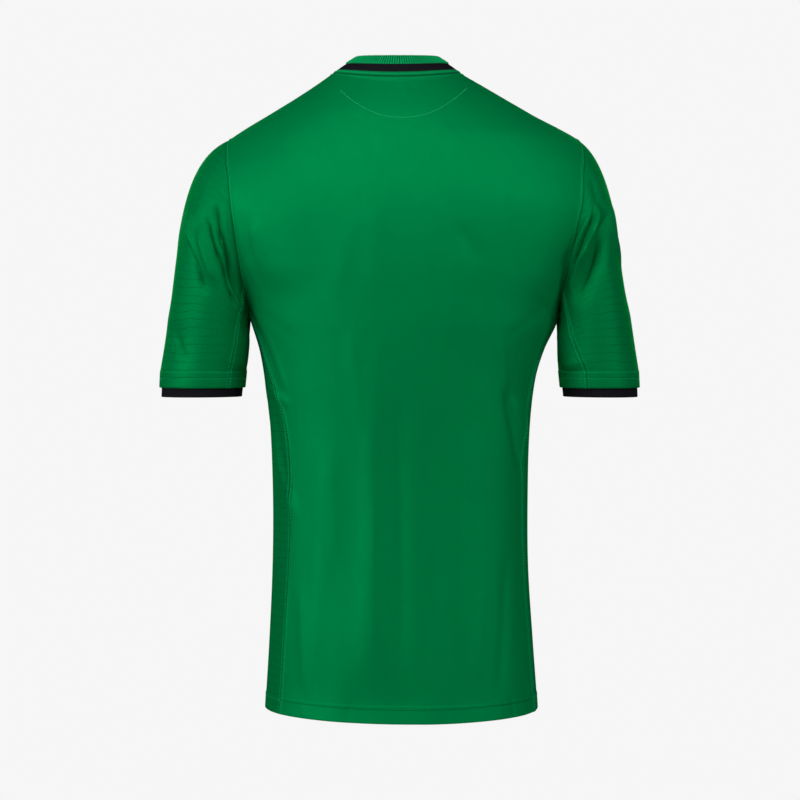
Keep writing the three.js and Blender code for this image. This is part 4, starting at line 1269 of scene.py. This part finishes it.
def trace(piece, edge, distance):
    """The line on a panel's outside at a distance from one of its edges, as points and normals."""
    made = pieces[piece]
    points, normals = made["points"], made["normals"]
    outer = np.broadcast_to(made["outer"], points.shape[:2])[..., None]
    sheet = np.concatenate([points + normals * outer, normals], -1)
    if edge in ("left", "right"):
        sheet, points = sheet.transpose(1, 0, 2), points.transpose(1, 0, 2)
    if edge in ("right", "top"):
        sheet, points = sheet[::-1], points[::-1]
    far = run_of(points, 0)
    row = np.clip((far < distance).sum(0), 1, len(far) - 1)
    column = np.arange(far.shape[1])
    share = (distance - far[row - 1, column]) / (far[row, column] - far[row - 1, column])
    line = mix(sheet[row - 1, column], sheet[row, column], share[:, None])
    return line[:, :3], unit(line[:, 3:])


def evenly(points, normals, pitch):
    """Places a pitch apart along a line."""
    far = np.concatenate([[0], np.cumsum(np.linalg.norm(np.diff(points, axis=0), axis=1))])
    count = round(far[-1] / pitch)
    at = np.linspace(0, far[-1], count + 1)[:-1] + far[-1] / count / 2

    def values_at(places, values):
        return np.stack([np.interp(places, far, values[:, k]) for k in range(3)], -1)

    run = values_at(at + DIRECTION_STEP, points) - values_at(at - DIRECTION_STEP, points)
    return values_at(at, points), unit(values_at(at, normals)), unit(run)


print("points beside the back's hem:", len(trace("back_panel", "bottom", HEM["band"])[0]))

# %% [markdown]
# A bead 2 mm long every 3.3 mm is one stitch. A texture could show dots, but beads catch the light. The
# thread is a little brighter than the cloth, so it shows as a dotted line.
# Only the hems' thread lies deep in the cloth, and its colour is darker, a painted shade for that groove.

# %% Stitches
STITCH = {"pitch": 3.3, "length": 2.0, "radius": 0.42, "sunk": 0.1, "sides": 6}
BEAD_ENDS = ((0, 3, 2, 1), (0, 5, 4, 3)), ((0, 1, 2, 3), (0, 3, 4, 5))
BEAD_RINGS = ((-0.5, 0.35), (-0.28, 1.0), (0.28, 1.0), (0.5, 0.35))


def bead_faces():
    """The quads of one bead: round its sides, then two at each end."""
    n = STITCH["sides"]
    k, j = np.meshgrid(np.arange(len(BEAD_RINGS) - 1), np.arange(n), indexing="ij")
    low, high, following = k * n, (k + 1) * n, (j + 1) % n
    around = np.stack([low + j, low + following, high + following, high + j], -1).reshape(-1, 4)
    last = (len(BEAD_RINGS) - 1) * n
    return np.concatenate([around, np.array(BEAD_ENDS[0]), np.array(BEAD_ENDS[1]) + last])


def sew(name, lines, material=THREAD):
    """One object of stitches along several lines of points and normals."""
    spaced = [evenly(*line, STITCH["pitch"]) for line in lines]
    places, ups, runs = (np.concatenate(part) for part in zip(*spaced))
    sides = unit(np.cross(ups, runs))
    ups = np.cross(runs, sides)
    turn = np.arange(STITCH["sides"]) / STITCH["sides"] * 2 * math.pi
    circle = np.cos(turn)[:, None] * sides[:, None] + np.sin(turn)[:, None] * ups[:, None]
    rings = []
    for along, share in BEAD_RINGS:
        ring = places[:, None] + runs[:, None] * along * STITCH["length"] + ups[:, None] * STITCH["sunk"]
        rings.append(ring + circle * STITCH["radius"] * share)
    vertices = np.stack(rings, 1).reshape(-1, 3)
    first = np.arange(len(places))[:, None, None] * STITCH["sides"] * len(BEAD_RINGS)
    faces = (bead_faces()[None] + first).reshape(-1, 4)
    cuts = np.stack([vertices[:, 0] + vertices[:, 1], vertices[:, 2]], -1)[faces]
    made = mesh_object(name, vertices, faces, cuts, material)
    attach(made, "root")
    print(name, len(places), "stitches")


print("one stitch has", 2 * len(bead_faces()), "triangles")

# %% [markdown]
# The lines of stitches follow the way the jersey is put together: the side seams and the armholes, the neck
# seam, the hem, then the side panels, and the seams and the two rows at the hem of each sleeve.

# %% Seams and hems
def both_sides(name, seam):
    """The lines of stitches beside a piece's left and right edge."""
    return [trace(name, edge, SEAM_STITCH[seam]) for edge in ("left", "right")]


for face in ("back", "front"):
    name = face + "_panel"
    low_rows = len(hem_levels())
    sew(name + "_side_stitches", [(p[:low_rows], n[:low_rows]) for p, n in both_sides(name, "side")])
    sew(name + "_armhole_stitches", [(p[low_rows:], n[low_rows:]) for p, n in both_sides(name, "armhole")])
    sew(name + "_neck_stitches", [trace(name, "top", SEAM_STITCH["neck"])])
    sew(name + "_hem_stitches", [trace(name, "bottom", HEM["band"] - HEM_STITCH)], THREAD_IN_PAINTED_SHADE)
for side, word in SIDES.items():
    name = "side_panel_" + word
    sew(name + "_stitches", both_sides(name, "side") + [trace(name, "bottom", HEM["band"] - HEM_STITCH)])
    for name in ("sleeve_" + word, "sleeve_gusset_" + word):
        rows = [trace(name, "top", CUFF["band"] - line) for line in CUFF_STITCHES]
        sew(name + "_stitches", both_sides(name, "gusset") + rows)

# %% [markdown]
# A half-moon patch is sewn inside the back of the neck, to keep the collar from wearing through. From
# outside only its curved line of stitches shows.

# %% Half-moon line
HALF_MOON = {"middle": -2.5, "half": 74, "top": -19, "low": -58, "power": 2.2,
             "ends": (-0.97, 0.93), "points": 181}


def half_moon():
    """The curve from shoulder to shoulder, laid out as it is seen from behind."""
    share = np.linspace(*HALF_MOON["ends"], HALF_MOON["points"])
    z = mix(HALF_MOON["low"], HALF_MOON["top"], np.abs(share) ** HALF_MOON["power"])
    x = HALF_MOON["middle"] + HALF_MOON["half"] * share - curve(RINGS, z, "centreX")
    part = np.clip(x / curve(RINGS, z, "halfWidth"), -1, 1)
    y = curve(RINGS, z, "back") * (1 - np.abs(part) ** RING_POWER) ** (1 / RING_POWER)
    degrees = np.degrees(np.arctan2(y, x))
    normals = body_normal(degrees, z)
    return body_point(degrees, z) + normals * (CLOTH / 2), normals


sew("half_moon_stitches", [half_moon()], BRIGHT_THREAD)

# %% [markdown]
# Light. The jersey is shown in front of a plain pale ground. The camera sees that ground, but the jersey is
# lit by a much dimmer one, so that the lamps can shape it. A ground as bright as it looks would wash out
# the folds.

# %% Background
GROUND = 0.9216
AMBIENT = 0.07

world = bpy.data.worlds.new("studio")
world.use_nodes = True
bpy.context.scene.world = world
tree = world.node_tree
seen = tree.nodes["Background"]
seen.inputs[0].default_value = (GROUND, GROUND, GROUND, 1)
lighting = tree.nodes.new("ShaderNodeBackground")
lighting.inputs[0].default_value = (1, 1, 1, 1)
lighting.inputs[1].default_value = AMBIENT
choice = tree.nodes.new("ShaderNodeMixShader")
ray = tree.nodes.new("ShaderNodeLightPath")
link(tree, ray.outputs["Is Camera Ray"], choice.inputs[0])
link(tree, lighting.outputs[0], choice.inputs[1])
link(tree, seen.outputs[0], choice.inputs[2])
link(tree, choice.outputs[0], tree.nodes["World Output"].inputs[0])
bpy.context.scene.view_settings.view_transform = "Standard"
print("ground", GROUND, "and ambient light", AMBIENT)

# %% [markdown]
# Eight round area lamps light the jersey, large enough to keep every shadow soft. Three stand on the
# picture's left and are the strongest from behind, one weaker lamp stands on its right, two small ones above
# shape the shoulders, and two wide ones light the front, which the picture doesn't show. The left is +X,
# because the jersey is seen from behind.

# %% Lamps
LIGHTS = {
    "left": {"at": (1.9, 1.15, -0.1), "size": 0.8, "watts": 13},
    "left_side": {"at": (1.9, 0.5, 0.0), "size": 0.8, "watts": 5.5},
    "left_near": {"at": (1.3, 1.9, 0.2), "size": 0.8, "watts": 7.5},
    "right": {"at": (-1.9, 1.15, -0.2), "size": 0.8, "watts": 9},
    "above": {"at": (0.25, 0.75, 0.45), "size": 0.5, "watts": 3},
    "above_right": {"at": (-0.7, 1.0, 0.5), "size": 0.6, "watts": 5.7},
    "front_left": {"at": (1.1, -2.2, 0.3), "size": 1.3, "watts": 20},
    "front_right": {"at": (-1.1, -2.2, 0.3), "size": 1.3, "watts": 20},
}
MIDDLE = np.array([0, 0, -0.34])
for name, light in LIGHTS.items():
    data = bpy.data.lights.new(name, "AREA")
    data.shape = "DISK"
    data.size = light["size"]
    data.energy = light["watts"]
    lamp = bpy.data.objects.new(name, data)
    lamp.location = light["at"]
    toward = MIDDLE - np.array(light["at"])
    from_side = math.atan2(toward[0], -toward[1])
    tilt = math.atan2(math.hypot(toward[0], toward[1]), -toward[2])
    lamp.rotation_euler = (tilt, 0, from_side + math.pi)
    bpy.context.scene.collection.objects.link(lamp)
print("lamps:", len(LIGHTS), "with", sum(light["watts"] for light in LIGHTS.values()), "W in all")

# %% [markdown]
# A small pale floor lies well below the hem, so that the jersey casts no hard shadow on it. It is a stage,
# and no part of the jersey.

# %% Floor
FLOOR = {"z": -0.95, "radius": 0.74, "sides": 128, "shade": 0.85, "roughness": 0.9}
bpy.ops.mesh.primitive_circle_add(vertices=FLOOR["sides"], radius=FLOOR["radius"], fill_type="NGON",
                                  location=(0, 0, FLOOR["z"]))
floor = bpy.context.object
floor.name = "floor"
paper = bpy.data.materials.new("pale_paper")
paper.use_nodes = True
paper_shader = paper.node_tree.nodes["Principled BSDF"]
paper_shader.inputs["Base Color"].default_value = (*[FLOOR["shade"]] * 3, 1)
paper_shader.inputs["Roughness"].default_value = FLOOR["roughness"]
floor.data.materials.append(paper)
print("floor at", FLOOR["z"], "m")

# %% Cloth sizes
SMALLEST = 0.01
CM = 100


def flat_size(name, points):
    """Width, length and area of a piece as it was cut, in metres. Cuff trims and collar go once round."""
    if name.startswith(("cuff", "collar")):
        points = np.concatenate([points, points[:, :1]], axis=1)
    width, climb = run_of(points, 1)[:, -1].max(), run_of(points, 0)[-1]
    length = climb.max()
    if name in ("back_panel", "front_panel"):
        middle, top = points.shape[1] // 2, points[-1, :, 2]
        length = climb[middle] + top.max() - top[middle]
    sides = np.cross(points[1:, 1:] - points[:-1, :-1], points[1:, :-1] - points[:-1, 1:])
    return width * MM, max(length * MM, SMALLEST), np.linalg.norm(sides, axis=-1).sum() / 2 * MM * MM


for name, made in pieces.items():
    width, length, area = flat_size(name, made["points"])
    area = min(area, width * length)
    print(name, "cut from", round(width * CM, 1), "x", round(length * CM, 1), "cm,",
          round(area * CM**2), "cm2")

triangles = sum(2 * len(made.data.polygons) for made in bpy.data.objects if made.type == "MESH")
print("triangles in all:", triangles)
